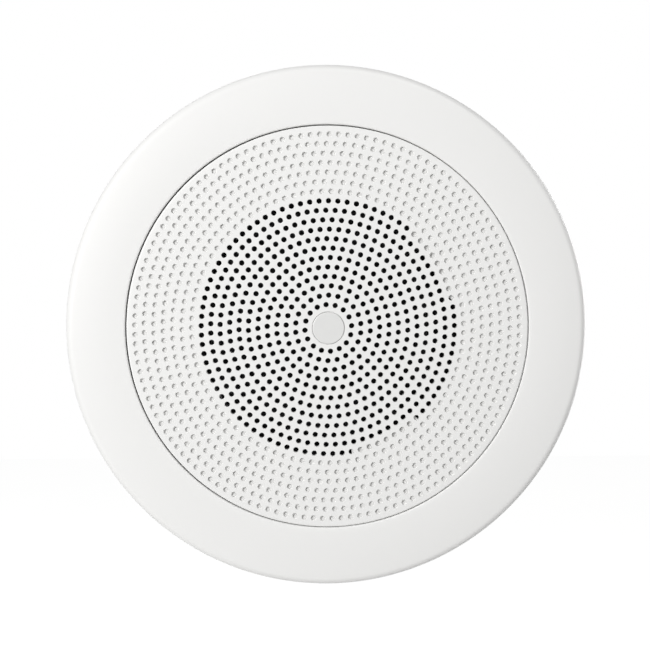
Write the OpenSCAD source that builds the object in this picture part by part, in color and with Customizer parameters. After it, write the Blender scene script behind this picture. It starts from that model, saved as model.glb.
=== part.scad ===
// Flush-mounted loudspeaker: one round moulded frame with a snap-in perforated
// grille, a cone driver behind it, three sprung panel clips and a push terminal.
// Frame of the model: the flange's flat back face lies in the plane y = 0 and is
// centred on the origin, the room is on the -Y side, the cavity on the +Y side
// and +Z is up. Each piece is drawn face up (+z towards the room) and turned once.

/* [Frame] */
// Width of the flange outside the collar
flange_over = 15.5; // [13:0.5:24]
// Height of the flange at the top of its dome
flange_h = 6; // [5.8:0.1:7]
// Radius of the flange's outer edge
edge_r = 5; // [3:0.1:5]
// Radius of the shallow dome across the flange
dome_r = 150; // [130:1:300]
// Width of the ring between the grille's seat and the outside of the collar
collar_ring = 9.5; // [9:0.1:12]
// Length of the collar behind the flange
collar_len = 14; // [12:0.5:15]
// Wall of the moulded frame
frame_wall = 2.4; // [2:0.1:2.6]
// Depth of the baffle's front face behind the flange's back face
baffle_depth = 2.5; // [2:0.1:4]
// Room around the driver inside the frame's dish
dish_room = 14; // [13.5:0.5:20]
// Number of radial ribs behind the flange
rib_count = 12; // [8:1:16]

/* [Grille] */
// Distance from one ring of holes to the next
ring_pitch = 4; // [3.9:0.02:4.02]
// Diameter of each hole
hole_d = 2; // [1.2:0.1:2.6]
// Number of rings of open holes
open_rings = 12; // [4:1:13]
// Width of the grille's edge outside its hooks
hook_edge = 1.2; // [0.8:0.1:2]
// Thickness of the perforated plate
grille_t = 2.2; // [1.8:0.1:2.4]
// Gap around the grille's edge
grille_gap = 0.7; // [0.4:0.1:1]
// Diameter of the badge in the middle
badge_d = 14; // [10:0.5:16]
// Thickness of the badge
badge_t = 0.8; // [0.6:0.1:1.2]

/* [Driver] */
// Diameter of the cone at its rim; the basket, frame and grille follow it
cone_d = 90.6; // [80:0.2:110]
// Width of the surround's roll
roll_w = 8.2; // [7:0.1:9]
// Gap between the surround's roll and the opening in the baffle
opening_gap = 4; // [3:0.1:6]
// Depth of the opening's four flats
flat_depth = 2.5; // [1.5:0.1:2.5]
// Width of the basket's rim outside the opening
rim_land = 8.5; // [8.5:0.1:12]
// Thickness of the basket's sheet steel
steel_t = 1.4; // [1.2:0.1:1.6]
// Distance of the basket's shelf behind the cone's neck
spider_drop = 4.5; // [4:0.1:7]
// Depth of the basket's floor behind its shelf
well_depth = 4.1; // [3:0.1:8]
// Number of windows in the basket
window_count = 8; // [8:4:12]
// Width of each basket window
window_w = 20; // [19.5:0.5:21]
// Thickness of the gasket
gasket_t = 1.5; // [1.2:0.1:2.5]
// Diameter of the magnet
magnet_d = 80; // [74:1:96]
// Thickness of the magnet
magnet_t = 14; // [12:0.5:20]
// Diameter of the magnet's steel plates
plate_d = 70; // [66:1:72]
// Thickness of the magnet's steel plates
plate_t = 5; // [4:0.5:6]
// Gap between the pole piece and the former
pole_gap = 0.4; // [0.3:0.05:0.6]
// Diameter of the vent through the pole piece
vent_d = 8; // [4:0.5:12]
// Inner diameter of the voice coil former
former_d = 25.3; // [25.2:0.05:25.4]
// Thickness of the former's wall
former_t = 0.3; // [0.2:0.05:0.35]
// Thickness of the coil's winding
coil_t = 0.4; // [0.3:0.05:0.45]
// Length of the coil's winding
coil_len = 9; // [7:0.5:9.5]
// Depth of the cone from its rim to its neck
cone_depth = 17.4; // [15:0.2:18]
// Thickness of the paper cone
paper_t = 0.6; // [0.5:0.05:0.8]
// Diameter of the dust cap
cap_d = 34; // [30:0.5:38]
// Height of the dust cap's dome
cap_h = 5; // [3:0.5:7]
// Thickness of the rubber surround
rubber_t = 0.6; // [0.5:0.05:0.7]
// Diameter of the spider
spider_d = 68; // [66:0.5:70]
// Thickness of the spider's cloth
spider_t = 0.5; // [0.4:0.05:0.6]

/* [Clips] */
// Number of sprung clips
clip_count = 3; // [2:1:4]
// Diameter of the clip's pin
pin_d = 3; // [2.6:0.1:3.2]
// Distance of the clip's pin inside the collar's outside
pin_inset = 5; // [4.8:0.1:5.2]
// Distance of the clip's pin behind the collar's end
pin_drop = 11; // [11:0.1:14]
// How far out from its pin the closed pad rests
pad_reach = 14.62; // [13:0.1:16]
// Thickness of the arm's sheet steel
arm_t = 1.2; // [1:0.1:1.4]
// Outside width of the arm
arm_w = 10; // [9.6:0.1:11]
// Radius of the rubber pad on the arm's tip
pad_r = 2.6; // [2.2:0.1:2.8]
// Diameter of the spring wire
wire_d = 0.9; // [0.7:0.05:1]
// Running gap of the arm on its pin
hinge_gap = 0.05; // [0.02:0.01:0.08]
// Radius of the arm's round cheeks at the pin
cheek_r = 3.6; // [3:0.1:4]
// Distance from the pin to the edge of the arm's web
web_start = 5.5; // [5:0.1:7]

/* [Terminal] */
// Width of the terminal block
block_w = 28; // [27:0.5:32]
// Thickness of the terminal block across its two rows
block_d = 13.6; // [13.4:0.1:13.8]
// Height of the terminal block
block_h = 16; // [15:0.5:20]
// Distance between the two poles
pole_pitch = 14; // [13:0.5:14.5]
// Diameter of each wire entry
wire_hole_d = 3.2; // [2.4:0.1:3.4]
// Travel of each push button
button_travel = 2.5; // [1.5:0.1:3]
// Gap between a button and its pocket
button_gap = 0.2; // [0.15:0.05:0.3]

/* [Hidden] */
// Shares of a millimetre that cutting shapes reach past what they cut
eps = 0.5;
round_fn = 180;
small_fn = 32;
// Every ring's holes start on this line, and each ring spaces its own holes
seam_angle = 73;

// Radii from the cone outwards
cone_r = cone_d / 2;
roll_out_r = cone_r + roll_w;
opening_r = roll_out_r + opening_gap;
basket_r = opening_r + rim_land;
dish_r = basket_r + dish_room;
dish_out_r = dish_r + frame_wall;
hook_play = 0.2;
hook_t = 1.6;
hook_rho = dish_out_r + 3 * hook_play;
grille_r = hook_rho + hook_t + hook_edge;
seat_r = grille_r + grille_gap;
collar_r = seat_r + collar_ring;
flange_r = collar_r + flange_over;

// Frame, heights and sections
seat_z = 3.8;
baffle_t = 2.5;
baffle_back = -baffle_depth - baffle_t;
dome_x = collar_r - 1;
inner_edge_r = 1;
collar_wall = 2.2;
skin_t = 2.2;
groove_in = [seat_r + 2.2, collar_r - collar_wall];
groove_out = [collar_r + 3, flange_r - 4];
rib_t = 1.8;
rib_turn = 15;
// The ribs stay clear of the face that lies on the panel
rib_recess = 0.5;

// Grille
grille_top = flange_h + 0.6;
grille_back = grille_top - grille_t;
first_ring = 2;
rim_w = 3.6;
hook_count = 6;
hook_w = 7;
hook_len = 3;
catch_d = 0.9;
back_rib_t = 1.4;
back_rib_h = 2.2;
badge_sink = 0.5;

// Driver, stacked from the baffle backwards
flat_turn = 32.5;
screw_rho = basket_r - 4.4;
screw_head = [7, 2.4];
screw_bite = 2.5;
screw_len = gasket_t + rubber_t + steel_t + baffle_t + screw_bite;
screw_d = 3.5;
screw_play = 0.4;
boss_r = 4;
boss_h = 3.5;
rim_wall = 1.4;
gasket_r = [opening_r, basket_r - rim_wall - 0.2];
lip_z = baffle_back - gasket_t;
basket_z = lip_z - rubber_t;
basket_back = basket_z - steel_t;
rim_drop = 2.1;
rim_z = lip_z - rim_drop;
neck_z = rim_z - cone_depth;
shelf_z = neck_z - spider_drop;
floor_z = shelf_z - well_depth - steel_t;
plate_z = floor_z - plate_t;
magnet_z = plate_z - magnet_t;
yoke_z = magnet_z - plate_t;
shelf_r = [spider_d / 2 - 4.2, spider_d / 2 + 1.8];
wall_top_r = basket_r - 9.4;
gap_out = 0.4;
former_out_r = former_d / 2 + former_t;
coil_out_r = former_out_r + coil_t;
plate_bore_r = coil_out_r + gap_out;
floor_hole_r = plate_bore_r + 0.25;
magnet_bore_r = plate_bore_r + 3.3;
pole_r = former_d / 2 - pole_gap;
cone_steps = 10;
glue_w = 3;
roll_r = (roll_w + rubber_t) / 2;
coil_mid = plate_z + plate_t / 2;
former_end = coil_mid - coil_len / 2 - 2;
spider_z = shelf_z + spider_t;
rivet_count = 4;
rivet_d = 3;
rivet_rho = spider_d / 2 - 12;

// Clips: the closed arm leans out so that its pad just clears the flange
rest_gap = 0.3;
pin_rho = collar_r - pin_inset;
pin_depth = collar_len + pin_drop;
closed = atan2(pin_depth - pad_r - rest_gap, pad_reach);
arm_len = pad_reach / cos(closed);
pad_over = 1;
ear_r = 4.5;
ear_t = 2.5;
ear_gap = 0.3;
coil_r = pin_d / 2 + wire_d / 2 + 0.65;
coil_turns = 3;
coil_pitch = wire_d + 0.4;
leg_len = 9;
leg_steps = 3;
turn_steps = 14;

// Terminal
block_rho = basket_r + 1.4;
block_wall = 0.8;
tab_rho = block_rho + block_d / 2 - 1;
tab_len = 7;
tab_boss = [3, 2.5];
tab_w = 5;
tab_t = 2.5;
tab_screw_w = block_w / 2 + tab_w / 2 + 0.5;
tab_screw_d = 2.5;
tab_screw_head = [4.6, 1.8];
tab_screw_len = tab_t + baffle_t + 2;
entry_rho = block_rho + wire_hole_d / 2 + 2;
button = [5.6, 8.6, 11.5];
button_rho = block_rho + block_d - block_wall - button_gap - button[0] / 2;
button_out = 4.5;
button_edge = [0.6, 1];
blade_t = 0.8;
blade_w = 4;
blade_drop = 5;
blade_z = baffle_back - blade_drop;
blade_in = 12;
blade_rho = basket_r - blade_in;
lead_d = 1.2;
// How far the leads hang below a straight line, and their course as shares of run and sag
lead_sag = 8;
lead_start = 0.434;
LEAD = [[0, 0], [0.072, 0.42], [0.181, 0.754], [0.326, 0.961], [0.471, 0.994], [0.616, 0.851],
        [0.761, 0.609], [0.87, 0.396], [0.942, 0.225], [1, 0]];

PIECES = ["frame", "grille", "badge", "gasket", "basket", "top_plate", "magnet", "back_yoke",
          "spider", "surround", "cone", "dust_cap", "coil_former", "voice_coil",
          "tinsel_lead_1", "tinsel_lead_2", "terminal_block", "terminal_screws",
          "contact_1", "contact_2", "button_red", "button_black",
          "driver_screws", "rivets"];

function dome_z(r) = flange_h - dome_r + sqrt(pow(dome_r, 2) - pow(r - dome_x, 2));
groove_in_h = dome_z(groove_in[0]) - skin_t;
groove_out_h = dome_z(groove_out[1]) - skin_t;
function holes_in(ring) = round(2 * PI * (ring + 0.5));
function clip_angle(i) = 90 + 360 * (i - 1) / clip_count;
function cone_z(r) = neck_z + cone_depth * pow(max(0, (r - former_out_r) / (cone_r - former_out_r)), 0.85);
function unit(v) = v / norm(v);

// Puts a piece drawn face up into the model's frame
module place() {
    rotate([90, 0, 0]) children();
}

// Turns a profile in (radius, height) into a full ring
module turned() {
    rotate_extrude($fn = round_fn) children();
}

module tube_ring(r_in, r_out, z, h) {
    translate([0, 0, z]) linear_extrude(h) difference() {
        circle(r = r_out, $fn = round_fn);
        circle(r = r_in, $fn = round_fn);
    }
}

// A round wire along a path, each ring square to the path; side is never along it
module wire(path, r, side, sides = 6) {
    last = len(path) - 1;
    rings = [for (k = [0 : last])
        let (t = unit(path[min(k + 1, last)] - path[max(k - 1, 0)]), n = unit(cross(t, side)), b = cross(n, t))
        for (s = [0 : sides - 1]) path[k] + r * (cos(360 * s / sides) * n + sin(360 * s / sides) * b)];
    walls = [for (k = [0 : last - 1]) for (s = [0 : sides - 1]) let (s2 = (s + 1) % sides)
        [k * sides + s, k * sides + s2, (k + 1) * sides + s2, (k + 1) * sides + s]];
    first = [for (s = [sides - 1 : -1 : 0]) s];
    end = [for (s = [0 : sides - 1]) last * sides + s];
    polyhedron(points = rings, faces = concat(walls, [first, end]), convexity = 4);
}

// Bezel section: a shallow dome that runs tangent into the rounded outer edge
module bezel_section() {
    edge_x = flange_r - edge_r;
    edge_z = flange_h - dome_r + sqrt(pow(dome_r - edge_r, 2) - pow(edge_x - dome_x, 2));
    inner_x = seat_r + inner_edge_r;
    inner_z = flange_h - dome_r + sqrt(pow(dome_r - inner_edge_r, 2) - pow(inner_x - dome_x, 2));
    intersection() {
        translate([dome_x, flange_h - dome_r]) circle(r = dome_r, $fn = 720);
        union() {
            translate([inner_x, 0]) square([edge_x - inner_x, flange_h + eps]);
            translate([seat_r, 0]) square([inner_edge_r, inner_z]);
            translate([inner_x, inner_z]) circle(r = inner_edge_r, $fn = 64);
            translate([edge_x, 0]) intersection() {
                translate([0, edge_z]) circle(r = edge_r, $fn = 120);
                square([edge_r + eps, flange_h + eps]);
            }
            translate([edge_x, 0]) square([edge_r, edge_z]);
        }
    }
}

module frame_section() {
    difference() {
        bezel_section();
        translate([groove_out[0], -eps]) square([groove_out[1] - groove_out[0], groove_out_h + eps]);
        translate([groove_in[0], -eps]) square([groove_in[1] - groove_in[0], groove_in_h + eps]);
    }
    translate([dish_r, seat_z - frame_wall]) square([seat_r - dish_r + 1, frame_wall]);
    translate([dish_r, baffle_back]) square([frame_wall, seat_z - baffle_back]);
    translate([collar_r - collar_wall, -collar_len]) square([collar_wall, collar_len + 1]);
}

// Round opening with four flats that carry the driver's screws
module opening_outline() {
    intersection() {
        circle(r = opening_r, $fn = round_fn);
        rotate(flat_turn) square(2 * (opening_r - flat_depth), center = true);
    }
}

module at_driver_screws() {
    for (i = [0 : 3]) rotate(flat_turn + 90 * i) translate([screw_rho, 0, 0]) children();
}

module at_hooks() {
    for (i = [0 : hook_count - 1]) rotate(360 * i / hook_count) children();
}

module at_terminal() {
    rotate(-90) children();
}

module at_tab_screws() {
    at_terminal() for (side = [-1, 1]) translate([tab_rho, side * tab_screw_w, 0]) children();
}

module at_rivets() {
    for (i = [0 : rivet_count - 1]) rotate(45 + 360 * i / rivet_count) translate([rivet_rho, 0, 0]) children();
}

module at_poles() {
    at_terminal() for (side = [-1, 1]) translate([0, side * pole_pitch / 2, 0]) children();
}

// Ear outline in (radius, height): a deep rib that ends in the pin's boss
module ear_profile() {
    difference() {
        union() {
            polygon([[dish_out_r - 1, 1], [collar_r - 0.5, 1], [pin_rho + ear_r, -pin_depth],
                     [pin_rho, -pin_depth - ear_r * 0.6], [pin_rho - ear_r, -pin_depth],
                     [dish_out_r - 1, baffle_back]]);
            translate([pin_rho, -pin_depth]) circle(r = ear_r, $fn = 48);
        }
        translate([pin_rho, -pin_depth]) circle(d = pin_d, $fn = small_fn);
    }
}

// Rib outline in (radius, height): from the dish's wall down to the collar's end
module rib_profile() {
    polygon([[dish_out_r - eps, 1], [collar_r - 1, 1], [collar_r - 1, -collar_len + 3],
             [dish_out_r - eps, baffle_back + 1]]);
}

module clip_ears() {
    inside = arm_w / 2 + ear_gap;
    stop_x = pin_rho - coil_r - wire_d / 2;
    for (side = [-1, 1])
        translate([0, side * (inside + ear_t / 2) + ear_t / 2, 0])
            rotate([90, 0, 0]) linear_extrude(ear_t) ear_profile();
    // Cross wall that the spring's fixed leg leans on
    translate([stop_x - 1.8, -inside - eps, -pin_depth + 4])
        cube([1.8, 2 * (inside + eps), pin_depth - 9]);
}

module frame() {
    color("white") place() difference() {
        union() {
            turned() frame_section();
            translate([0, 0, baffle_back]) linear_extrude(baffle_t) difference() {
                circle(r = dish_out_r, $fn = round_fn);
                opening_outline();
            }
            at_driver_screws() translate([0, 0, -baffle_depth - eps])
                cylinder(r = boss_r, h = boss_h + eps, $fn = 48);
            at_tab_screws() translate([0, 0, -baffle_depth - eps])
                cylinder(r = tab_boss[0], h = tab_boss[1] + eps, $fn = 48);
            for (i = [0 : rib_count - 1]) rotate(rib_turn + 360 * i / rib_count) {
                translate([0, rib_t / 2, 0]) rotate([90, 0, 0]) linear_extrude(rib_t) rib_profile();
                translate([groove_out[0] - eps, -rib_t / 2, rib_recess])
                    cube([groove_out[1] - groove_out[0] + 2 * eps, rib_t, groove_out_h + eps - rib_recess]);
            }
            for (i = [1 : clip_count]) rotate(clip_angle(i)) clip_ears();
        }
        at_hooks() translate([hook_rho - hook_play, -hook_w / 2 - 0.4, seat_z - frame_wall - eps])
            cube([hook_t + 2 * hook_play, hook_w + 0.8, frame_wall + 2 * eps]);
        at_driver_screws() translate([0, 0, baffle_back - eps])
            cylinder(d = screw_d, h = baffle_t + boss_h, $fn = small_fn);
        at_tab_screws() translate([0, 0, baffle_back - eps])
            cylinder(d = tab_screw_d, h = baffle_t + tab_boss[1], $fn = small_fn);
    }
}

// One ring of holes: the next ring out has room for about six more
module hole_ring(ring, z, h) {
    for (i = [0 : holes_in(ring) - 1])
        rotate(seam_angle + 360 * i / holes_in(ring))
            translate([(ring + 0.5) * ring_pitch, 0, z]) cylinder(d = hole_d, h = h, $fn = 24);
}

module grille_hook() {
    under = seat_z - frame_wall;
    translate([0, hook_w / 2, 0]) rotate([90, 0, 0]) linear_extrude(hook_w)
        polygon([[hook_rho, seat_z + eps], [hook_rho + hook_t, seat_z + eps], [hook_rho + hook_t, under - 0.1],
                 [hook_rho + hook_t + catch_d, under - 0.4], [hook_rho + hook_t, under - hook_len],
                 [hook_rho, under - hook_len]]);
}

module grille_blank() {
    edge = 0.8;
    turned() {
        translate([0, grille_back]) square([grille_r - edge, grille_t]);
        translate([grille_r - rim_w, seat_z]) square([rim_w, grille_top - seat_z - edge]);
        translate([grille_r - edge, grille_top - edge]) circle(r = edge, $fn = 48);
        // Stiffening rings between the rings of holes
        for (ring = [4, 5, first_ring + open_rings])
            translate([ring * ring_pitch - back_rib_t / 2, grille_back - back_rib_h])
                square([back_rib_t, back_rib_h + 0.4]);
    }
    at_hooks() grille_hook();
}

module grille() {
    last_open = first_ring + open_rings - 1;
    color("white") place() difference() {
        grille_blank();
        translate([0, 0, grille_top - badge_sink]) cylinder(d = badge_d, h = badge_sink + eps, $fn = round_fn);
        for (ring = [first_ring : last_open]) hole_ring(ring, grille_back - eps, grille_t + 2 * eps);
    }
}

module badge() {
    edge = 0.3;
    color("lightgray") place() translate([0, 0, grille_top - badge_sink]) turned() {
        square([badge_d / 2, badge_t - edge]);
        square([badge_d / 2 - edge, badge_t]);
        intersection() {
            translate([badge_d / 2 - edge, badge_t - edge]) circle(r = edge, $fn = 24);
            square([badge_d, badge_t + eps]);
        }
    }
}

module screw_holes(z, h, d) {
    at_driver_screws() translate([0, 0, z - eps]) cylinder(d = d, h = h + 2 * eps, $fn = small_fn);
}

module gasket() {
    color("dimgray") place() difference() {
        tube_ring(gasket_r[0], gasket_r[1], lip_z, gasket_t);
        screw_holes(lip_z, gasket_t, screw_d + screw_play);
    }
}

// Half-roll surround between the cone's rim and the basket's flange
module surround() {
    mid = (cone_r + roll_out_r) / 2;
    color("black") place() difference() {
        turned() {
            difference() {
                translate([mid, lip_z - rubber_t]) circle(r = roll_r, $fn = 96);
                translate([mid, lip_z - rubber_t]) circle(r = roll_r - rubber_t, $fn = 96);
                translate([0, lip_z - rubber_t - roll_r - eps]) square([flange_r, roll_r + eps]);
            }
            translate([mid + roll_r - rubber_t, lip_z - rubber_t])
                square([gasket_r[1] - mid - roll_r + rubber_t, rubber_t]);
            translate([mid - roll_r, rim_z]) square([rubber_t, lip_z - rubber_t - rim_z]);
            translate([cone_r - glue_w, rim_z]) square([mid - roll_r - cone_r + glue_w + rubber_t, rubber_t]);
        }
        screw_holes(lip_z - rubber_t, rubber_t, screw_d + screw_play);
    }
}

// Pressed basket: flange, sloped wall with windows, spider shelf and floor
module basket() {
    rim_lip = basket_r - rim_wall;
    color("darkslategray") place() difference() {
        turned() polygon([
            [floor_hole_r, floor_z], [shelf_r[0] + steel_t, floor_z], [shelf_r[0] + steel_t, shelf_z - steel_t],
            [shelf_r[1] + steel_t, shelf_z - steel_t], [wall_top_r + steel_t, basket_back],
            [basket_r, basket_back], [basket_r, lip_z], [rim_lip, lip_z], [rim_lip, basket_z],
            [roll_out_r + 0.5, basket_z], [roll_out_r + 0.5, basket_back], [wall_top_r, basket_back - 0.3],
            [shelf_r[1], shelf_z], [shelf_r[0], shelf_z], [shelf_r[0], floor_z + steel_t],
            [floor_hole_r, floor_z + steel_t]]);
        for (i = [0 : window_count - 1]) rotate(-90 + 360 * i / window_count)
            translate([shelf_r[1] + 1.5, -window_w / 2, shelf_z + 1.2])
                cube([wall_top_r - shelf_r[1], window_w, basket_back - shelf_z - 2]);
        screw_holes(basket_back, lip_z - basket_back, screw_d + screw_play);
        at_rivets() translate([0, 0, floor_z - eps]) cylinder(d = rivet_d, h = steel_t + 2 * eps, $fn = small_fn);
    }
}

module top_plate() {
    color("silver") place() difference() {
        tube_ring(plate_bore_r, plate_d / 2, plate_z, plate_t);
        at_rivets() translate([0, 0, plate_z - eps]) cylinder(d = rivet_d, h = plate_t + 2 * eps, $fn = small_fn);
    }
}

module magnet() {
    color("dimgray") place() tube_ring(magnet_bore_r, magnet_d / 2, magnet_z, magnet_t);
}

module back_yoke() {
    pole_foot = 1;
    color("silver") place() turned() {
        translate([vent_d / 2, yoke_z]) square([plate_d / 2 - vent_d / 2 - pole_foot, plate_t]);
        translate([vent_d / 2, yoke_z + pole_foot]) square([plate_d / 2 - vent_d / 2, plate_t - pole_foot]);
        translate([plate_d / 2 - pole_foot, yoke_z + pole_foot]) circle(r = pole_foot, $fn = 32);
        translate([vent_d / 2, yoke_z + pole_foot]) square([pole_r - vent_d / 2, floor_z - yoke_z - pole_foot]);
    }
}

module rivets() {
    head_h = 1;
    color("silver") place() at_rivets() translate([0, 0, plate_z]) {
        cylinder(d = rivet_d, h = plate_t + steel_t + 0.2, $fn = small_fn);
        translate([0, 0, plate_t + steel_t])
            cylinder(d1 = rivet_d * 1.8, d2 = rivet_d * 1.35, h = head_h, $fn = small_fn);
    }
}

// Corrugated centring disc between the former and the basket's shelf
module spider() {
    waves = 4;
    steps = 32;
    r0 = former_out_r;
    r1 = spider_d / 2 - 3.4;
    function wave_z(r) = spider_z - spider_t + 1.1 * (1 - cos(360 * waves * (r - r0) / (r1 - r0))) / 2;
    path = [for (k = [0 : steps]) let (r = r0 + (r1 - r0) * k / steps) [r, wave_z(r)]];
    top = concat([[r0, spider_z + 1.4], [r0 + spider_t, spider_z + 1.4]],
                 [for (k = [1 : steps]) [path[k][0], path[k][1] + spider_t]], [[spider_d / 2, spider_z]]);
    under = concat([[spider_d / 2, spider_z - spider_t]], [for (k = [steps : -1 : 0]) path[k]]);
    color("goldenrod") place() turned() polygon(concat(top, under));
}

module cone() {
    front = [for (k = [0 : cone_steps])
        let (r = former_out_r + (cone_r - former_out_r) * pow(k / cone_steps, 1.3)) [r, cone_z(r)]];
    rear = [for (k = [cone_steps : -1 : 0]) [front[k][0] + (k == 0 ? 0 : 0.2), front[k][1] - paper_t * 1.25]];
    color("dimgray") place() turned() polygon(concat(front, rear));
}

module dust_cap() {
    base_r = cap_d / 2;
    base_z = cone_z(base_r);
    ball_r = (pow(base_r, 2) + pow(cap_h, 2)) / (2 * cap_h);
    color("black") place() turned() difference() {
        intersection() {
            translate([0, base_z + cap_h - ball_r]) circle(r = ball_r, $fn = 360);
            translate([0, base_z]) square([base_r + eps, cap_h + eps]);
        }
        translate([0, base_z + cap_h - ball_r]) circle(r = ball_r - paper_t, $fn = 360);
    }
}

module coil_former() {
    color("tan") place() tube_ring(former_d / 2, former_out_r, former_end, neck_z + 1.5 - former_end);
}

module voice_coil() {
    color("peru") place() tube_ring(former_out_r, coil_out_r, coil_mid - coil_len / 2, coil_len);
}

// Flexible lead from the cone's back, through the lowest window, to a contact
module tinsel_lead(i) {
    w = (i == 1 ? -1 : 1) * pole_pitch / 2;
    start_r = former_out_r + lead_start * (cone_r - former_out_r);
    start = [start_r, w * 0.75, cone_z(start_r) - paper_t * 1.25 - lead_d / 2 + 0.1];
    end = [blade_rho + lead_d / 2, w, blade_z - blade_t - lead_d / 2 + 0.02];
    course = [for (p = LEAD) [start[0] + (end[0] - start[0]) * p[0],
                              start[1] + (end[1] - start[1]) * min(1, p[0] * 1.38),
                              start[2] + (end[2] - start[2]) * p[0] - lead_sag * p[1]]];
    path = concat(course, [end + [lead_d * 1.33, 0, 0]]);
    color("chocolate") place() at_terminal() wire(path, lead_d / 2, [0, 1, 0], 8);
}

module terminal_block() {
    inside = [button[0] + 2 * button_gap, button[1] + 2 * button_gap];
    well = button[2] - button_out + button_travel + 0.3;
    back = baffle_back - block_h;
    color("black") place() difference() {
        union() {
            at_terminal() translate([block_rho, -block_w / 2, back]) cube([block_d, block_w, block_h]);
            at_tab_screws() translate([-tab_len / 2, -tab_w / 2 - eps, baffle_back - tab_t])
                cube([tab_len, tab_w + 2 * eps, tab_t]);
        }
        at_poles() {
            translate([entry_rho, 0, back - eps])
                cylinder(d = wire_hole_d, h = block_h - blade_drop - blade_t + eps, $fn = small_fn);
            translate([button_rho - inside[0] / 2, -inside[1] / 2, back - eps])
                cube([inside[0], inside[1], well + eps]);
            translate([block_rho - eps, -blade_w / 2, blade_z - blade_t])
                cube([entry_rho - block_rho + blade_w / 2 + eps, blade_w, blade_t]);
        }
        at_tab_screws() translate([0, 0, baffle_back - tab_t - eps])
            cylinder(d = tab_screw_d + 0.3, h = tab_t + 2 * eps, $fn = small_fn);
    }
}

// Cross-recessed pan screw, its head's seat at z = 0 and its shank upwards
module screw(d, shank, head) {
    slot = [head[0] * 0.56, 0.8, head[1] * 0.5];
    cylinder(d = d, h = shank, $fn = small_fn);
    translate([0, 0, -head[1]]) difference() {
        cylinder(d1 = head[0] * 0.8, d2 = head[0], h = head[1], $fn = small_fn);
        for (turn = [0, 90]) rotate(turn) translate([-slot[0] / 2, -slot[1] / 2, -eps])
            cube([slot[0], slot[1], slot[2] + eps]);
    }
}

module driver_screws() {
    color("silver") place() at_driver_screws() translate([0, 0, basket_back])
        screw(screw_d, screw_len, screw_head);
}

module terminal_screws() {
    color("silver") place() at_tab_screws() translate([0, 0, baffle_back - tab_t])
        screw(tab_screw_d, tab_screw_len, tab_screw_head);
}

module contact(i) {
    w = (i == 1 ? -1 : 1) * pole_pitch / 2;
    color("gold") place() at_terminal() translate([blade_rho, w - blade_w / 2, blade_z - blade_t])
        cube([entry_rho + blade_w / 2 - blade_rho, blade_w, blade_t]);
}

module push_button(i, tint) {
    w = (i == 1 ? -1 : 1) * pole_pitch / 2;
    out_z = baffle_back - block_h - button_out;
    color(tint) place() at_terminal() translate([button_rho, w, out_z]) {
        translate([-button[0] / 2, -button[1] / 2, button_edge[1]])
            cube([button[0], button[1], button[2] - button_edge[1]]);
        translate([-button[0] / 2 + button_edge[0], -button[1] / 2 + button_edge[0], 0])
            cube([button[0] - 2 * button_edge[0], button[1] - 2 * button_edge[0], button_edge[1]]);
    }
}

module at_clip(i) {
    rotate(clip_angle(i)) translate([pin_rho, 0, -pin_depth]) children();
}

module clip_pin(i) {
    reach = arm_w / 2 + ear_gap + ear_t;
    head_h = 1;
    color("silver") place() at_clip(i) rotate([90, 0, 0]) {
        translate([0, 0, -reach - 0.5]) cylinder(d = pin_d, h = 2 * reach + 0.5, $fn = small_fn);
        translate([0, 0, reach]) cylinder(d = pin_d + 2, h = head_h, $fn = small_fn);
    }
}

// Channel arm: two cheeks on the pin, joined by a web that carries the pad
module clip_arm(i) {
    cheek = [[0, -cheek_r], [web_start + eps, -cheek_r * 0.89], [arm_len * 0.736, -cheek_r * 0.39],
             [arm_len * 0.811, -arm_t / 2], [arm_len * 0.811, arm_t / 2], [arm_len * 0.736, cheek_r * 0.28],
             [web_start + eps, cheek_r * 0.445], [0, cheek_r]];
    color("lightsteelblue") place() at_clip(i) rotate([0, -closed, 0]) {
        for (side = [-1, 1]) translate([0, side * (arm_w - arm_t) / 2 + arm_t / 2, 0])
            rotate([90, 0, 0]) linear_extrude(arm_t) difference() {
                union() {
                    circle(r = cheek_r, $fn = 48);
                    polygon(cheek);
                }
                circle(d = pin_d + 2 * hinge_gap, $fn = small_fn);
            }
        translate([web_start, -arm_w / 2, -arm_t / 2]) cube([arm_len - web_start, arm_w, arm_t]);
    }
}

module clip_pad(i) {
    pad_w = arm_w + 2 * pad_over;
    color("black") place() at_clip(i) rotate([0, -closed, 0]) difference() {
        translate([arm_len, pad_w / 2, 0]) rotate([90, 0, 0]) cylinder(r = pad_r, h = pad_w, $fn = 48);
        translate([arm_len - pad_r - eps, -arm_w / 2, -arm_t / 2]) cube([pad_r + eps, arm_w, arm_t]);
    }
}

// Torsion spring round the pin: one leg on the frame's cross wall, one on the web
module clip_spring(i) {
    sweep = coil_turns * 360 + 90 + closed;
    rows = ceil(sweep / 360 * turn_steps);
    half_w = coil_pitch * sweep / 720;
    fixed_leg = [for (k = [leg_steps : -1 : 1]) [-coil_r, -half_w, leg_len * k / leg_steps]];
    coil = [for (k = [0 : rows]) let (a = 180 + sweep * k / rows)
        [coil_r * cos(a), -half_w + 2 * half_w * k / rows, coil_r * sin(a)]];
    lift = coil_r - arm_t / 2 - wire_d / 2 - 0.02;
    arm_leg = [for (k = [1 : leg_steps])
        let (u = leg_len * 4 / 3 * k / leg_steps, v = -coil_r + lift * k / leg_steps)
            [u * cos(closed) - v * sin(closed), half_w, u * sin(closed) + v * cos(closed)]];
    color("gray") place() at_clip(i) wire(concat(fixed_leg, coil, arm_leg), wire_d / 2, [0, 1, 0]);
}

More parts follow.
